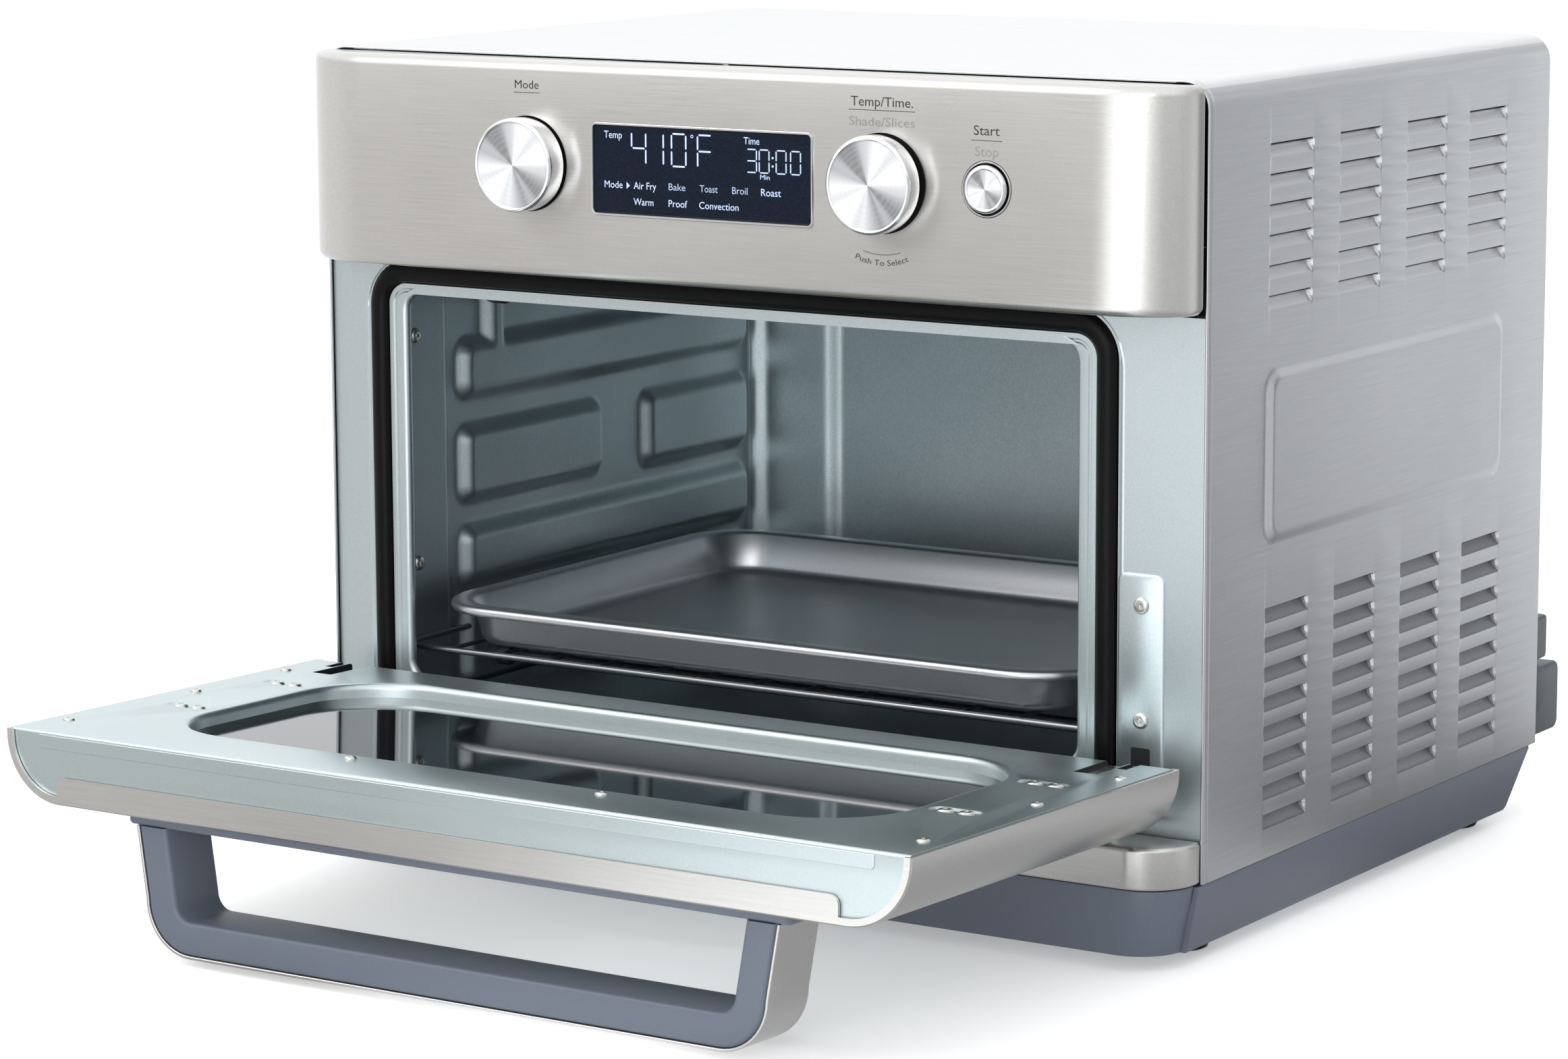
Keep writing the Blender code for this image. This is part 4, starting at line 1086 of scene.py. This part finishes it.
def make_display():
    """Words, a temperature and a time standing on the display's glass."""
    y = PANEL_FRONT - 0.0010 + SCREEN_SUNK
    glow, dim = bmesh.new(), bmesh.new()
    for data, words in ((glow, DISPLAY_WORDS), (dim, DIM_WORDS)):
        for text, x, z, width, cap in words:
            lettering_into(data, text, (x, z), width, cap, y)
    for mark, x in (("4", -0.0362), ("1", -0.0196), ("0", -0.0153), ("F", -0.0018)):
        digit_into(glow, mark, (x, 0.2983), (0.0074, 0.0140), y, 0.00075)
    for mark, x in (("3", 0.0222), ("0", 0.0286), ("0", 0.0372), ("0", 0.0445)):
        digit_into(glow, mark, (x, 0.2955), (0.0050, 0.0098), y, 0.00055)
    for z in (0.2936, 0.2972):
        disc_into(glow, Vector((0.0329, 0, z)), 0.0005, (y - 0.00008, y + 0.00002), 12)
    ring = [(0.00075, 0.0), (0.00075, 0.00008), (0.00045, 0.00008), (0.00045, 0.0)]
    revolve_into(glow, ring, 16, (-0.0084, y, 0.3046))
    triangle = [(-0.0427, 0.2804), (-0.0410, 0.2819), (-0.0427, 0.2834)]
    loft_into(glow, [lift(triangle, "Y", h) for h in (y - 0.00008, y + 0.00002)])
    piece("display_marks", glow, "glow", "black_gloss", keep=True)
    piece("display_marks_dim", dim, "dim_glow", "black_gloss", keep=True)


KNOB_RIM = 0.0021
KNOB_DISH = 0.0009
KNOB_STEPS = 96


def knob_profile(radius, back, front):
    """A knob's (radius, height) profile: skirt, polished rim, and a shallow turned face."""
    return [
        (radius * 0.72, back), (radius - 0.0010, back), (radius - 0.0003, back + 0.0005),
        (radius, back + 0.0014), (radius, front - 0.0016), (radius - 0.0003, front - 0.0007),
        (radius - 0.0010, front - 0.0001), (radius - 0.0014, front), (radius - 0.0018, front - 0.0002),
        (radius - KNOB_RIM, front - KNOB_DISH),
    ]


def make_knob(name, at, node, body):
    """A polished ring and a lathe-turned face with painted highlight wedges, which turn together."""
    x, y, z = spans(node)
    radius = (x[1] - x[0]) / 2
    front, back = -y[0], -y[1]
    base = Vector((at.x, 0, at.z))
    data = bmesh.new()
    bore = [(radius * 0.5, front - KNOB_DISH), (radius * 0.5, back)]
    revolve_into(data, knob_profile(radius, back, front) + bore, KNOB_STEPS, base)
    piece(f"{name}_ring", data, "chrome", "spun_aluminium", body, origin=base)
    data = bmesh.new()
    face = radius - KNOB_RIM
    top = front - 0.00085
    profile = [(face, top - 0.0006), (face, top)]
    profile += [(face * i / 8, top + 0.00004) for i in range(7, -1, -1)]
    revolve_into(data, profile, KNOB_STEPS, base)
    piece(f"{name}_face", data, "spun_face", "spun_aluminium", body, nodes=[node], origin=base)


def make_knobs():
    make_knob("mode_dial", MODE_AT, "mode_knob", "mode_control")
    make_knob("temperature_dial", TEMP_AT, "temperature_knob", "temperature_control")
    make_knob("start_cap", START_AT, "start_button", "start_key")
    data = bmesh.new()
    inner, outer = 0.0110, 0.01175
    y = -PANEL_FRONT
    profile = (
        (inner, -0.003), (inner, 0.0003), (inner + 0.0002, 0.0005), (outer - 0.0002, 0.0005),
        (outer, 0.0002), (outer, -0.003), (inner, -0.003),
    )
    revolve_into(data, [(out, y + up) for out, up in profile], 72, START_AT)
    piece("start_surround", data, "chrome", "chrome", nodes=["start_ring"])


# ---------------------------------------------------------------- base and rear


def make_skirt_side(name, side):
    """One side's skirt, which leans in towards its foot and is raked at the rear."""
    x, y, z = spans(f"skirt_{name}")
    out = max(abs(x[0]), abs(x[1]))
    wall = 0.0065
    loops = []
    for level, draft, rake in (
        (0.0, 0.0062, 0.015), (0.07, 0.0052, 0.0138), (0.96, 0.0002, 0.0006), (1.0, 0.0006, 0.0),
    ):
        face, rear = out - draft, y[1] - rake
        corner = [(face, rear - 0.003), (face - 0.0009, rear - 0.0009), (face - 0.003, rear)]
        outline = [(face, y[0])] + corner + [(face - wall, rear), (face - wall, y[0])]
        loops.append(lift([(side * a, b) for a, b in outline], "Z", z[0] + (z[1] - z[0]) * level))
    lofted(f"base_side_{name}", loops, "slate", "slate_plastic", nodes=[f"skirt_{name}"])


def make_foot(place):
    x, y, z = spans(f"foot_{place}")
    radius = (x[1] - x[0]) / 2
    sole = ((0, 0.0006), (0.45, 0.0006), (0.55, 0.0), (0.80, 0.0), (0.93, 0.0007), (1.0, 0.0025))
    profile = [(radius * share, z[0] + up) for share, up in sole] + [(radius, z[1]), (0, z[1])]
    data = bmesh.new()
    revolve_into(data, profile, 40, (sum(x) / 2, sum(y) / 2, 0), "Z")
    piece(f"foot_pad_{place}", data, "rubber", "black_rubber", nodes=[f"foot_{place}"])


def make_base():
    """The trim bar under the door, the skirts and the feet."""
    trim = rounded_bar(
        PANEL_X[1], PANEL_FRONT, PANEL_Y[1], PANEL_BEND, spans("lower_trim")[2], (0.0010, 0.0018)
    )
    lofted("lower_trim_bar", trim, "steel_panel", "brushed_stainless", nodes=["lower_trim"])

    _, (front, _), (low, high) = spans("skirt_front")
    half = PANEL_X[1] - 0.0012
    loops = []
    for level, draft in ((0.0, 0.0065), (0.06, 0.0054), (0.5, 0.0030), (0.97, 0.0), (1.0, 0.0004)):
        outline = bowed(half - draft, front + draft * 0.6, -0.003, 0.021)
        loops.append(lift(outline, "Z", low + (high - low) * level))
    lofted("base_front", loops, "slate", "slate_plastic", nodes=["skirt_front"])
    for side, name in ((-1, "left"), (1, "right")):
        make_skirt_side(name, side)
    for place in ("front_left", "front_right", "rear_left", "rear_right"):
        make_foot(place)


VENT_TOPS = [0.262 - 0.0165 * row for row in range(7)]
VENT_STARTS = [-0.150 + 0.078 * column for column in range(4)]
VENT_LENGTH = 0.058
VENT_END = 0.0040
VENT_SECTION = ((0, 0.0028), (0.002, 0.0026), (0.0045, 0.0011), (0.0065, 0))
REAR_BEND = 0.012


def vent_rise(across):
    """How fully a rear vent is pressed out, from 0 at its ends to 1."""
    for start in VENT_STARTS:
        gone = min(across - start, start + VENT_LENGTH - across)
        if gone > -1e-6:
            return math.sin(math.pi / 2 * min(1.0, max(0.0, gone) / VENT_END))
    return 0.0


def make_rear_sheet():
    """The rear sheet with rows of pressed vents, and a black sheet behind them that paints the shade inside."""
    x, y, z = spans("rear_panel")
    levels = [(z[0], 0.0, False), (z[1], 0.0, False)]
    for top in VENT_TOPS:
        levels.append((top, 0.0, True))
        levels += [(top - drop - 1e-7, -depth, False) for drop, depth in VENT_SECTION]
    for degrees in (15, 30, 45, 60, 75, 90):
        levels.append((z[1] - REAR_BEND * (1 - math.cos(math.radians(degrees))), 0.0, False))
    levels.sort(key=lambda level: -level[0])
    columns = {x[0] + 0.0008, x[1] - 0.0008}
    for start in VENT_STARTS:
        for gone in (0, 0.0009, 0.0022, VENT_END):
            columns |= {start + gone, start + VENT_LENGTH - gone}
    columns = sorted(columns)

    def point(level, across):
        height, depth, _ = level
        if height > z[1] - REAR_BEND:
            above = height - z[1] + REAR_BEND
            limit = x[1] - REAR_BEND + math.sqrt(max(0.0, REAR_BEND**2 - above**2))
            across = max(-limit, min(limit, across))
        return (across, y[1] + depth * vent_rise(across), height)

    def slit(i, j):
        return levels[i][2] and vent_rise((columns[j] + columns[j + 1]) / 2) > 0

    data = bmesh.new()
    grid_into(data, levels, columns, point, slit)
    bmesh.ops.dissolve_degenerate(data, edges=data.edges, dist=2e-7)
    sheet = piece("rear_sheet", data, "steel_side", "aluminised_steel", nodes=["rear_panel"], merge=3e-7)
    if sheet.data.polygons[0].normal.y < 0:
        sheet.data.flip_normals()
    thicken(sheet, 0.0009)
    # A black sheet behind the vents: painted shade inside the cabinet
    painted_shade_sheet = bmesh.new()
    painted_shade_x = (VENT_STARTS[0] - 0.006, VENT_STARTS[-1] + VENT_LENGTH + 0.006)
    painted_shade_z = (VENT_TOPS[-1] - 0.012, VENT_TOPS[0] + 0.006)
    box_into(painted_shade_sheet, painted_shade_x, (y[0] - 0.0031, y[0] - 0.0027), painted_shade_z)
    piece("rear_vent_painted_shade_lining", painted_shade_sheet, "black_plastic", "black_plastic")


def make_rear_fittings():
    """The rear sheet's screws, and the spacers and bumpers that keep the oven off a wall."""
    face = spans("rear_panel")[1][1]
    screws = bmesh.new()
    places = [(across, height) for across in (-0.214, -0.072, 0.072, 0.214) for height in (0.012, 0.312)]
    places += [(across, height) for height in (0.110, 0.215) for across in (-0.214, 0.214)]
    for across, height in places:
        screw_into(screws, (across, face, height), 0.0036, "Y", 0.0013)
    piece("rear_screws", screws, "screw", "chrome")
    edge = 0.0012
    for kind, radius in (("spacer", 0.0045), ("bumper", 0.0022)):
        for name in ("left", "right"):
            node = f"rear_{kind}_{name}"
            x, y, z = spans(node)
            ends = ((x[0], edge), (x[0] + edge * 0.3, edge * 0.3), (x[0] + edge, 0.0))
            ends += ((x[1] - edge, 0.0), (x[1] - edge * 0.3, edge * 0.3), (x[1], edge))
            loops = []
            for across, less in ends:
                loops.append(lift(rounded(inset(y, less), inset(z, less), radius, 6), "X", across))
            # The spacers and bumpers take the darker slate: painted shade
            lofted(f"{node}_moulding", loops, "dark_slate", "slate_plastic", nodes=[node])


# ---------------------------------------------------------------- pan


def make_pan():
    """A shallow pan with drafted walls and a rolled rim, from its underside over the rim to its inside."""
    x, y, z = spans("baking_pan")
    radius, rim, draft, wall = 0.036, 0.009, 0.005, 0.0011

    def level(less, height):
        return lift(rounded(inset(x, less), inset(y, less), radius - less, 14), "Z", height)

    low, high = z
    fillet, bead = 0.005, 0.00225
    wall_low = rim + draft
    loops = [level(wall_low + away, low + up) for away, up in quarter(fillet)]
    outside = ((rim + 0.0012, 0.0030), (rim + 0.0002, wall + 0.0006), (rim - 0.0016, wall))
    for less, down in outside + ((0.0030, wall), (0.0022, 0.0030)):
        loops.append(level(less, high - down))
    for i in range(13):
        turn = math.radians(-60 + 150 * i / 12)
        loops.append(level(bead * (1 - math.cos(turn)), high - bead * (1 - math.sin(turn))))
    for less, down in ((rim - 0.0006, 0.0), (rim + 0.0006, 0.0004), (rim + 0.0014, 0.0014)):
        loops.append(level(less, high - down))
    for away, up in reversed(quarter(fillet)):
        loops.append(level(wall_low + wall + away, low + wall + up))
    lofted("baking_pan_pressing", loops, "pan_steel", "satin_pan", "pan", nodes=["baking_pan"])


# ---------------------------------------------------------------- door


def door_outline(half, front, back, radius, steps=16):
    """The door's section: a flat front with large round ends that reach the inner face."""
    points = [(half, back)]
    points += reversed(arc((half - radius, front + radius), radius, -90, 0, steps))
    points += reversed(arc((-half + radius, front + radius), radius, 180, 270, steps))
    points.append((-half, back))
    return points


def make_door_skin():
    """The outer skin: a bowed sheet with turned-in ends and a window."""

    def level(less, height):
        back = DOOR_INNER - 0.0005
        return lift(door_outline(DOOR_HALF - less, DOOR_FRONT + less, back, DOOR_BEND - less), "Z", height)

    low, high = DOOR_Z
    edge, lip = 0.0007, 0.0035
    loops = [
        level(lip, low + DOOR_SKIN), level(lip, low), level(edge, low), level(0, low + edge),
        level(0, high - edge), level(edge, high), level(lip, high), level(lip, high - DOOR_SKIN),
        level(DOOR_SKIN, high - DOOR_SKIN), level(DOOR_SKIN, low + DOOR_SKIN),
    ]
    data = bmesh.new()
    rings = [[data.verts.new(point) for point in loop] for loop in loops]
    for first, second in zip(rings, rings[1:] + rings[:1]):
        for i in range(len(first) - 1):
            data.faces.new((first[i], first[i + 1], second[i + 1], second[i]))
    for end in (0, -1):
        data.faces.new([ring[end] for ring in rings])
    skin = piece("door_skin", data, "steel_door", "brushed_stainless", "door", nodes=["door_outer_shell"])
    cut = bmesh.new()
    through = (DOOR_FRONT - 0.004, DOOR_FRONT + 0.004)
    outline = rounded(OUTER_WINDOW_X, OUTER_WINDOW_Z, OUTER_WINDOW_RADIUS, 8)
    loft_into(cut, [lift(outline, "Y", h) for h in through])
    for side in (-1, 1):
        slot = sorted((side * 0.2050, side * 0.2095))
        box_into(cut, slot, (-0.0330, 0.004), (0.018, 0.0400))
    swing(cut)
    carve(skin, cut)
    left, right, corner = -0.198, 0.194, 0.004
    outline = [(left, DOOR_FRONT + lip - 0.0002), (right, DOOR_FRONT + lip - 0.0002)]
    outline += arc((right - corner, DOOR_FRONT + 0.008), corner, 0, 90, 5)
    outline += arc((left + corner, DOOR_FRONT + 0.008), corner, 90, 180, 5)
    loops = [lift(outline, "Z", height) for height in (high - DOOR_SKIN, high - 0.00005)]
    lofted("door_skin_lip", loops, "steel_door", "brushed_stainless", "door")


DOOR_RECESSES = ((0.1955, 0.153), (0.1967, 0.0845))


def carve_window(liner):
    """The window's mouth in the door's inner face, with a rolled edge."""
    roll = 0.003
    mouth = [(roll, DOOR_INNER + 0.002)]
    mouth += [(out, DOOR_INNER - deep) for out, deep in quarter(roll)]
    mouth.append((-0.0006, DOOR_INNER - 0.0085))
    loops = []
    for out, y in mouth:
        x, z = inset(WINDOW_X, -out), inset(WINDOW_Z, -out)
        loops.append(lift(rounded(x, z, WINDOW_RADIUS + out, 16), "Y", y))
    cut = bmesh.new()
    loft_into(cut, loops)
    swing(cut)
    carve(liner, cut)


RECESS_HALF = 0.0118
RECESS_RADIUS = 0.0039
RECESS_DEEP = 0.0012
RECESS_SECTION = (
    (0.0012, 0.002), (0.0012, 0.0), (0.0004, -0.0003), (-0.0004, -0.0010), (-0.0012, -RECESS_DEEP),
)


def carve_recesses(liner):
    """Shallow oval recesses for the pairs of screws."""
    cut = bmesh.new()
    for side in (-1, 1):
        for across, up in DOOR_RECESSES:
            middle = side * across
            loops = []
            for out, y in RECESS_SECTION:
                x = (middle - RECESS_HALF - out, middle + RECESS_HALF + out)
                z = (up - 0.0040 - out, up + 0.0040 + out)
                loops.append(lift(rounded(x, z, RECESS_RADIUS + out, 6), "Y", DOOR_INNER + y))
            loft_into(cut, loops)
    swing(cut)
    carve(liner, cut)


def carve_hinge_slots(liner):
    cut = bmesh.new()
    for side in (-1, 1):
        knuckle, lug = (side * 0.1935, side * 0.2044), (side * 0.2052, side * 0.2096)
        box_into(cut, sorted(knuckle), (-0.0200, 0.004), (0.0200, 0.0560), 0.001)
        box_into(cut, sorted(lug), (-0.0345, 0.004), (0.018, 0.0400))
    swing(cut)
    # The slots' walls take black: painted shade inside them
    carve(liner, cut, "black_plastic")


def make_door_screws():
    screws = bmesh.new()
    for side in (-1, 1):
        for across, up in DOOR_RECESSES:
            for shift in (-0.00485, 0.00485):
                screw_into(screws, (side * across + shift, DOOR_INNER - RECESS_DEEP, up), 0.0034, "Y", 0.0016)
        for across, up in ((0.2150, 0.2100), (0.0634, 0.2080), (0.2158, 0.1243), (0.2174, 0.0587)):
            screw_into(screws, (side * across, DOOR_INNER, up), 0.0027, "Y", 0.0011)
    piece("door_screws", screws, "screw", "chrome", "door")


def make_door_liner():
    """The inner pan of the door: its end walls, face, window mouth, recesses and flange."""
    half = DOOR_HALF - DOOR_SKIN - GAP
    front = DOOR_FRONT + DOOR_SKIN + GAP
    radius = DOOR_BEND - DOOR_SKIN - 0.0013
    low, high = inset(DOOR_Z, 0.0018)
    bend = 0.0016
    loops = []
    for less, height in rounded_levels(low, high, bend, bend, 4):
        loops.append(lift(door_outline(half, front, DOOR_INNER - less, radius), "Z", height))
    liner = lofted("door_liner", loops, "door_liner", "aluminised_steel", "door", nodes=["door_inner_panel"])
    carve_window(liner)
    carve_recesses(liner)
    carve_hinge_slots(liner)
    make_door_screws()
    side = 0.2092
    outline = [(-0.208, DOOR_INNER - 0.0075), (0.208, DOOR_INNER - 0.0075), (side, DOOR_INNER - 0.0062)]
    outline += [(side, DOOR_INNER - 0.0016), (-side, DOOR_INNER - 0.0016), (-side, DOOR_INNER - 0.0062)]
    loops = [lift(outline, "Z", height) for height in (high - 0.0004, high + 0.0004)]
    bevel(lofted("door_liner_flange", loops, "door_liner", "aluminised_steel", "door"), 0.0003)


DOOR_PANES = (
    ("inner", (-0.186, 0.186), (0.044, 0.209), (-0.0128, -0.0092)),
    ("outer", (-0.170, 0.170), (0.041, 0.191), (DOOR_FRONT + 0.0030, DOOR_FRONT + 0.0062)),
)
TRIM_SECTION = (
    (0, 0.0032), (0, -0.0002), (0.0008, -0.0009), (0.0030, -0.0009), (0.0040, 0.0002), (0.0042, 0.0032),
)


def make_door_glass():
    """The two panes and the black trim round the outer window."""
    for place, x, z, y in DOOR_PANES:
        loops = [lift(rounded(x, z, 0.008, 5), "Y", height) for height in y]
        nodes = [f"door_{place}_glass"]
        bevel(lofted(f"door_glass_{place}", loops, "door_glass", "clear_glass", "door", nodes=nodes), 0.0006)
    loops = []
    for less, deep in TRIM_SECTION:
        x, z = inset(OUTER_WINDOW_X, less), inset(OUTER_WINDOW_Z, less)
        loops.append(lift(rounded(x, z, OUTER_WINDOW_RADIUS - less, 8), "Y", DOOR_FRONT + deep))
    lofted("door_window_trim", loops, "black_gloss", "black_gloss", "door", ring=True)


def strap(half, reach, radius, thick, root):
    """The handle's section as an outer and an inner path of equally many points, from root to root."""
    paths = []
    for less in (0, thick):
        side, far, bend = half - less, reach - less, max(radius - less, 0.007)
        low = side - HANDLE_TAPER
        path = [(-side, root)]
        path += arc((-low + bend, -far + bend), bend, 180, 270, 12)
        path += arc((low - bend, -far + bend), bend, 270, 360, 12)
        path.append((side, root))
        paths.append(path)
    return paths


def strap_into(data, outer, inner, z):
    """A bent bar between two paths, drawn out along z."""
    edge = 0.0022
    loops = []
    for far, near in zip(outer, inner):
        a, b = Vector(far), Vector(near)
        toward = (b - a).normalized()
        thick = (b - a).length
        rim = min(edge, thick * 0.4)
        corners = []
        middles = ((thick - rim, z[1] - rim), (rim, z[1] - rim), (rim, z[0] + rim), (thick - rim, z[0] + rim))
        for quarter, middle in enumerate(middles):
            for deep, height in arc(middle, rim, 90 * quarter, 90 * quarter + 90, 3):
                spot = a + toward * deep
                corners.append((spot.x, spot.y, height))
        loops.append(corners)
    loft_into(data, loops)


def make_handle():
    """The handle's base plate, its bent grip and the steel band round the grip."""
    root = DOOR_FRONT - GAP
    x = (-HANDLE_BASE_HALF, HANDLE_BASE_HALF)
    loops = []
    for less, y in ((0.0, root), (0.0002, root - 0.0040), (0.0010, root - 0.0050)):
        loops.append(lift(rounded(inset(x, less), inset(HANDLE_Z, less), 0.0030 - less, 4), "Y", y))
    lofted("handle_plate", loops, "slate", "slate_plastic", "door", nodes=["handle_base"])
    start = root - 0.005 - GAP
    reach = HANDLE_REACH - DOOR_FRONT
    data = bmesh.new()
    strap_into(data, *strap(HANDLE_HALF, reach, HANDLE_BEND, HANDLE_THICK, start), HANDLE_Z)
    piece("handle_bar", data, "slate", "slate_plastic", "door", nodes=["handle_grip"])
    grow = GAP + BAND
    paths = strap(HANDLE_HALF + grow, reach + grow, HANDLE_BEND + grow, BAND + GAP * 0.8, start)
    data = bmesh.new()
    strap_into(data, *paths, inset(HANDLE_Z, 0.0002))
    piece("handle_strip", data, "steel_door", "brushed_stainless", "door", nodes=["handle_band"])


# ---------------------------------------------------------------- the rest


def finish_carried_nodes():
    """Better materials for the CAD nodes that stay."""
    finishes = {
        "aluminised_steel": "aluminised_inside", "slate_plastic": "slate", "black_rubber": "rubber",
        "black_gloss": "black_gloss", "clear_glass": "door_glass", "chrome": "screw",
        "spun_aluminium": "spun_face", "satin_pan": "pan_steel", "element_sheath": "sheath",
        "circuit_board": "board", "black_plastic": "black_plastic", "brushed_stainless": "steel_side",
    }
    slots = {row["node"]: row["material_slot"] for row in frame["record"]["subparts"]}
    for name, obj in frame["nodes"].items():
        if obj.hide_render:
            continue
        material = MATERIALS[finishes[slots[name]]]
        if not obj.material_slots:
            obj.data.materials.append(material)
        for slot in obj.material_slots:
            slot.material = material


def make_floor():
    mesh = bpy.data.meshes.new("studio_floor")
    size = 40.0
    corners = [(-size, -size, 0), (size, -size, 0), (size, size, 0), (-size, size, 0)]
    mesh.from_pydata(corners, [], [(0, 1, 2, 3)])
    floor = add_object("studio_floor", mesh)
    floor.location.z = CAD_BOX[0].z - 0.0002
    made, shader = blank("floor", (0.94, 0.94, 0.94), 0.0, 0.9)
    shader.inputs["Emission Color"].default_value = (1.0, 1.0, 1.0, 1.0)
    shader.inputs["Emission Strength"].default_value = 0.32
    cloud = noise(made, (0.5, 0.5, 0.5), 1.0)
    mixed = tint(made, spread(made, cloud, 0, 1), (0.93, 0.93, 0.93), (0.95, 0.95, 0.95))
    made.node_tree.links.new(mixed, shader.inputs["Base Color"])
    mesh.materials.append(made)


def area_light(name, place, target, size, power):
    lamp = bpy.data.lights.new(name, "AREA")
    lamp.shape = "RECTANGLE"
    lamp.size, lamp.size_y = size
    lamp.energy = power
    obj = add_object(name, lamp)
    obj.location = place
    aim = Vector(target) - Vector(place)
    obj.rotation_euler = aim.to_track_quat("-Z", "Y").to_euler()


def make_light():
    """A bright studio that darkens towards the back right, and two soft boxes."""
    world = bpy.data.worlds.new("studio")
    bpy.context.scene.world = world
    world.use_nodes = True
    nodes, links = world.node_tree.nodes, world.node_tree.links
    background = nodes["Background"]
    place = nodes.new("ShaderNodeTexCoord")
    dark_side = nodes.new("ShaderNodeVectorMath")
    dark_side.operation = "DOT_PRODUCT"
    dark_side.inputs[1].default_value = Vector((0.78, 0.62, 0.05)).normalized()
    links.new(place.outputs["Generated"], dark_side.inputs[0])
    ramp = nodes.new("ShaderNodeMapRange")
    ramp.interpolation_type = "SMOOTHSTEP"
    ramp.inputs["From Min"].default_value = 0.25
    ramp.inputs["From Max"].default_value = 0.95
    ramp.inputs["To Min"].default_value = 1.3
    ramp.inputs["To Max"].default_value = 0.7
    links.new(dark_side.outputs["Value"], ramp.inputs["Value"])
    links.new(ramp.outputs["Result"], background.inputs["Strength"])
    background.inputs["Color"].default_value = (0.97, 0.985, 1.0, 1.0)
    area_light("key", (-1.1, -1.6, 1.9), (0, 0, 0.15), (1.4, 1.4), 14)
    area_light("fill", (0.55, -1.7, 0.55), (0, 0.1, 0.15), (0.9, 0.7), 7)


REFLECTION_RADIUS = 1.6
REFLECTION_HEIGHT = 0.7
REFLECTION_START = 0.15
REFLECTION_FULL = 2.0
# The studio round the object as (azimuth in degrees, brightness, warmth); 0 is in front, 90 at the right
REFLECTION_TONES = (
    (-180, 1.15, -0.02), (-120, 1.10, -0.02), (-70, 0.90, 0.0), (-38, 0.68, 0.012), (-17, 0.58, 0.01),
    (-4, 1.60, -0.02), (4, 2.0, -0.02), (16, 2.0, -0.02), (30, 0.80, -0.02), (45, 0.66, -0.02),
    (74, 0.66, -0.02), (103, 0.85, -0.02), (126, 0.34, -0.02), (140, 0.42, -0.02), (153, 1.10, -0.02),
    (180, 1.25, -0.02),
)


def make_reflections():
    """A ring of card round the object that only shows in its polished surfaces."""
    made = bpy.data.materials.new("card")
    made.use_nodes = True
    nodes, links = made.node_tree.nodes, made.node_tree.links
    nodes.remove(nodes["Principled BSDF"])
    glow = nodes.new("ShaderNodeEmission")
    parts, away = object_space(made)
    turn = calculate(made, "ARCTAN2", parts["X"], calculate(made, "MULTIPLY", parts["Y"], -1.0))
    share = spread(made, turn, 0.0, 1.0, -math.pi, math.pi)
    ramp = nodes.new("ShaderNodeValToRGB")
    ramp.color_ramp.interpolation = "EASE"
    stops = ramp.color_ramp.elements
    while len(stops) < len(REFLECTION_TONES):
        stops.new(0.5)
    for stop, (azimuth, tone, warmth) in zip(stops, REFLECTION_TONES):
        stop.position = (azimuth + 180) / 360
        share_of_full = tone / REFLECTION_FULL
        stop.color = (share_of_full * (1 + warmth), share_of_full, share_of_full * (1 - warmth), 1.0)
    links.new(share, ramp.inputs["Fac"])
    links.new(ramp.outputs["Color"], glow.inputs["Color"])
    near_floor = spread(made, away, 1.3, REFLECTION_FULL, 0.30, 0.65)
    links.new(near_floor, glow.inputs["Strength"])
    links.new(glow.outputs["Emission"], nodes["Material Output"].inputs["Surface"])
    data = bmesh.new()
    circles = ((REFLECTION_START, 0.001), (REFLECTION_RADIUS, 0.001), (REFLECTION_RADIUS, REFLECTION_HEIGHT))
    loops = [lift(arc((0, 0), radius, 0, 360, 72)[:-1], "Z", height) for radius, height in circles]
    loft_into(data, loops, cap=(False, False))
    mesh = bpy.data.meshes.new("card_ring")
    data.to_mesh(mesh)
    data.free()
    mesh.materials.append(made)
    card = add_object("card_ring", mesh)
    card.visible_camera = False
    card.visible_diffuse = False
    card.visible_shadow = False
    card.visible_transmission = False


CAMERA_PLACE = (1.1452, -1.80505, 0.5158)
CAMERA_AZIMUTH = 32.951
CAMERA_ELEVATION = 9.526
CAMERA_ROLL = -0.23
CAMERA_LENS = 110.28


def make_camera():
    camera = bpy.data.cameras.new("camera")
    camera.lens = CAMERA_LENS
    camera.sensor_width = 36.0
    camera.clip_end = 100.0
    obj = add_object("camera", camera)
    across, up = math.radians(CAMERA_AZIMUTH), math.radians(CAMERA_ELEVATION)
    back = Vector(
        (math.sin(across) * math.cos(up), -math.cos(across) * math.cos(up), math.sin(up))
    )
    turn = back.to_track_quat("Z", "Y").to_matrix().to_4x4()
    obj.matrix_world = (
        Matrix.Translation(CAMERA_PLACE) @ turn @ Matrix.Rotation(math.radians(CAMERA_ROLL), 4, "Z")
    )
    bpy.context.scene.camera = obj


make_camera()
make_materials()
make_wrapper()
make_front_frame()
make_hinge_plate()
make_cavity()
make_elements()
make_rack()
make_control_panel()
make_screen()
make_labels()
make_display()
make_knobs()
make_base()
make_rear_sheet()
make_rear_fittings()
make_pan()
make_door_skin()
make_door_liner()
make_door_glass()
make_handle()
finish_carried_nodes()
make_floor()
make_light()
make_reflections()
bpy.context.scene.view_settings.view_transform = "Standard"
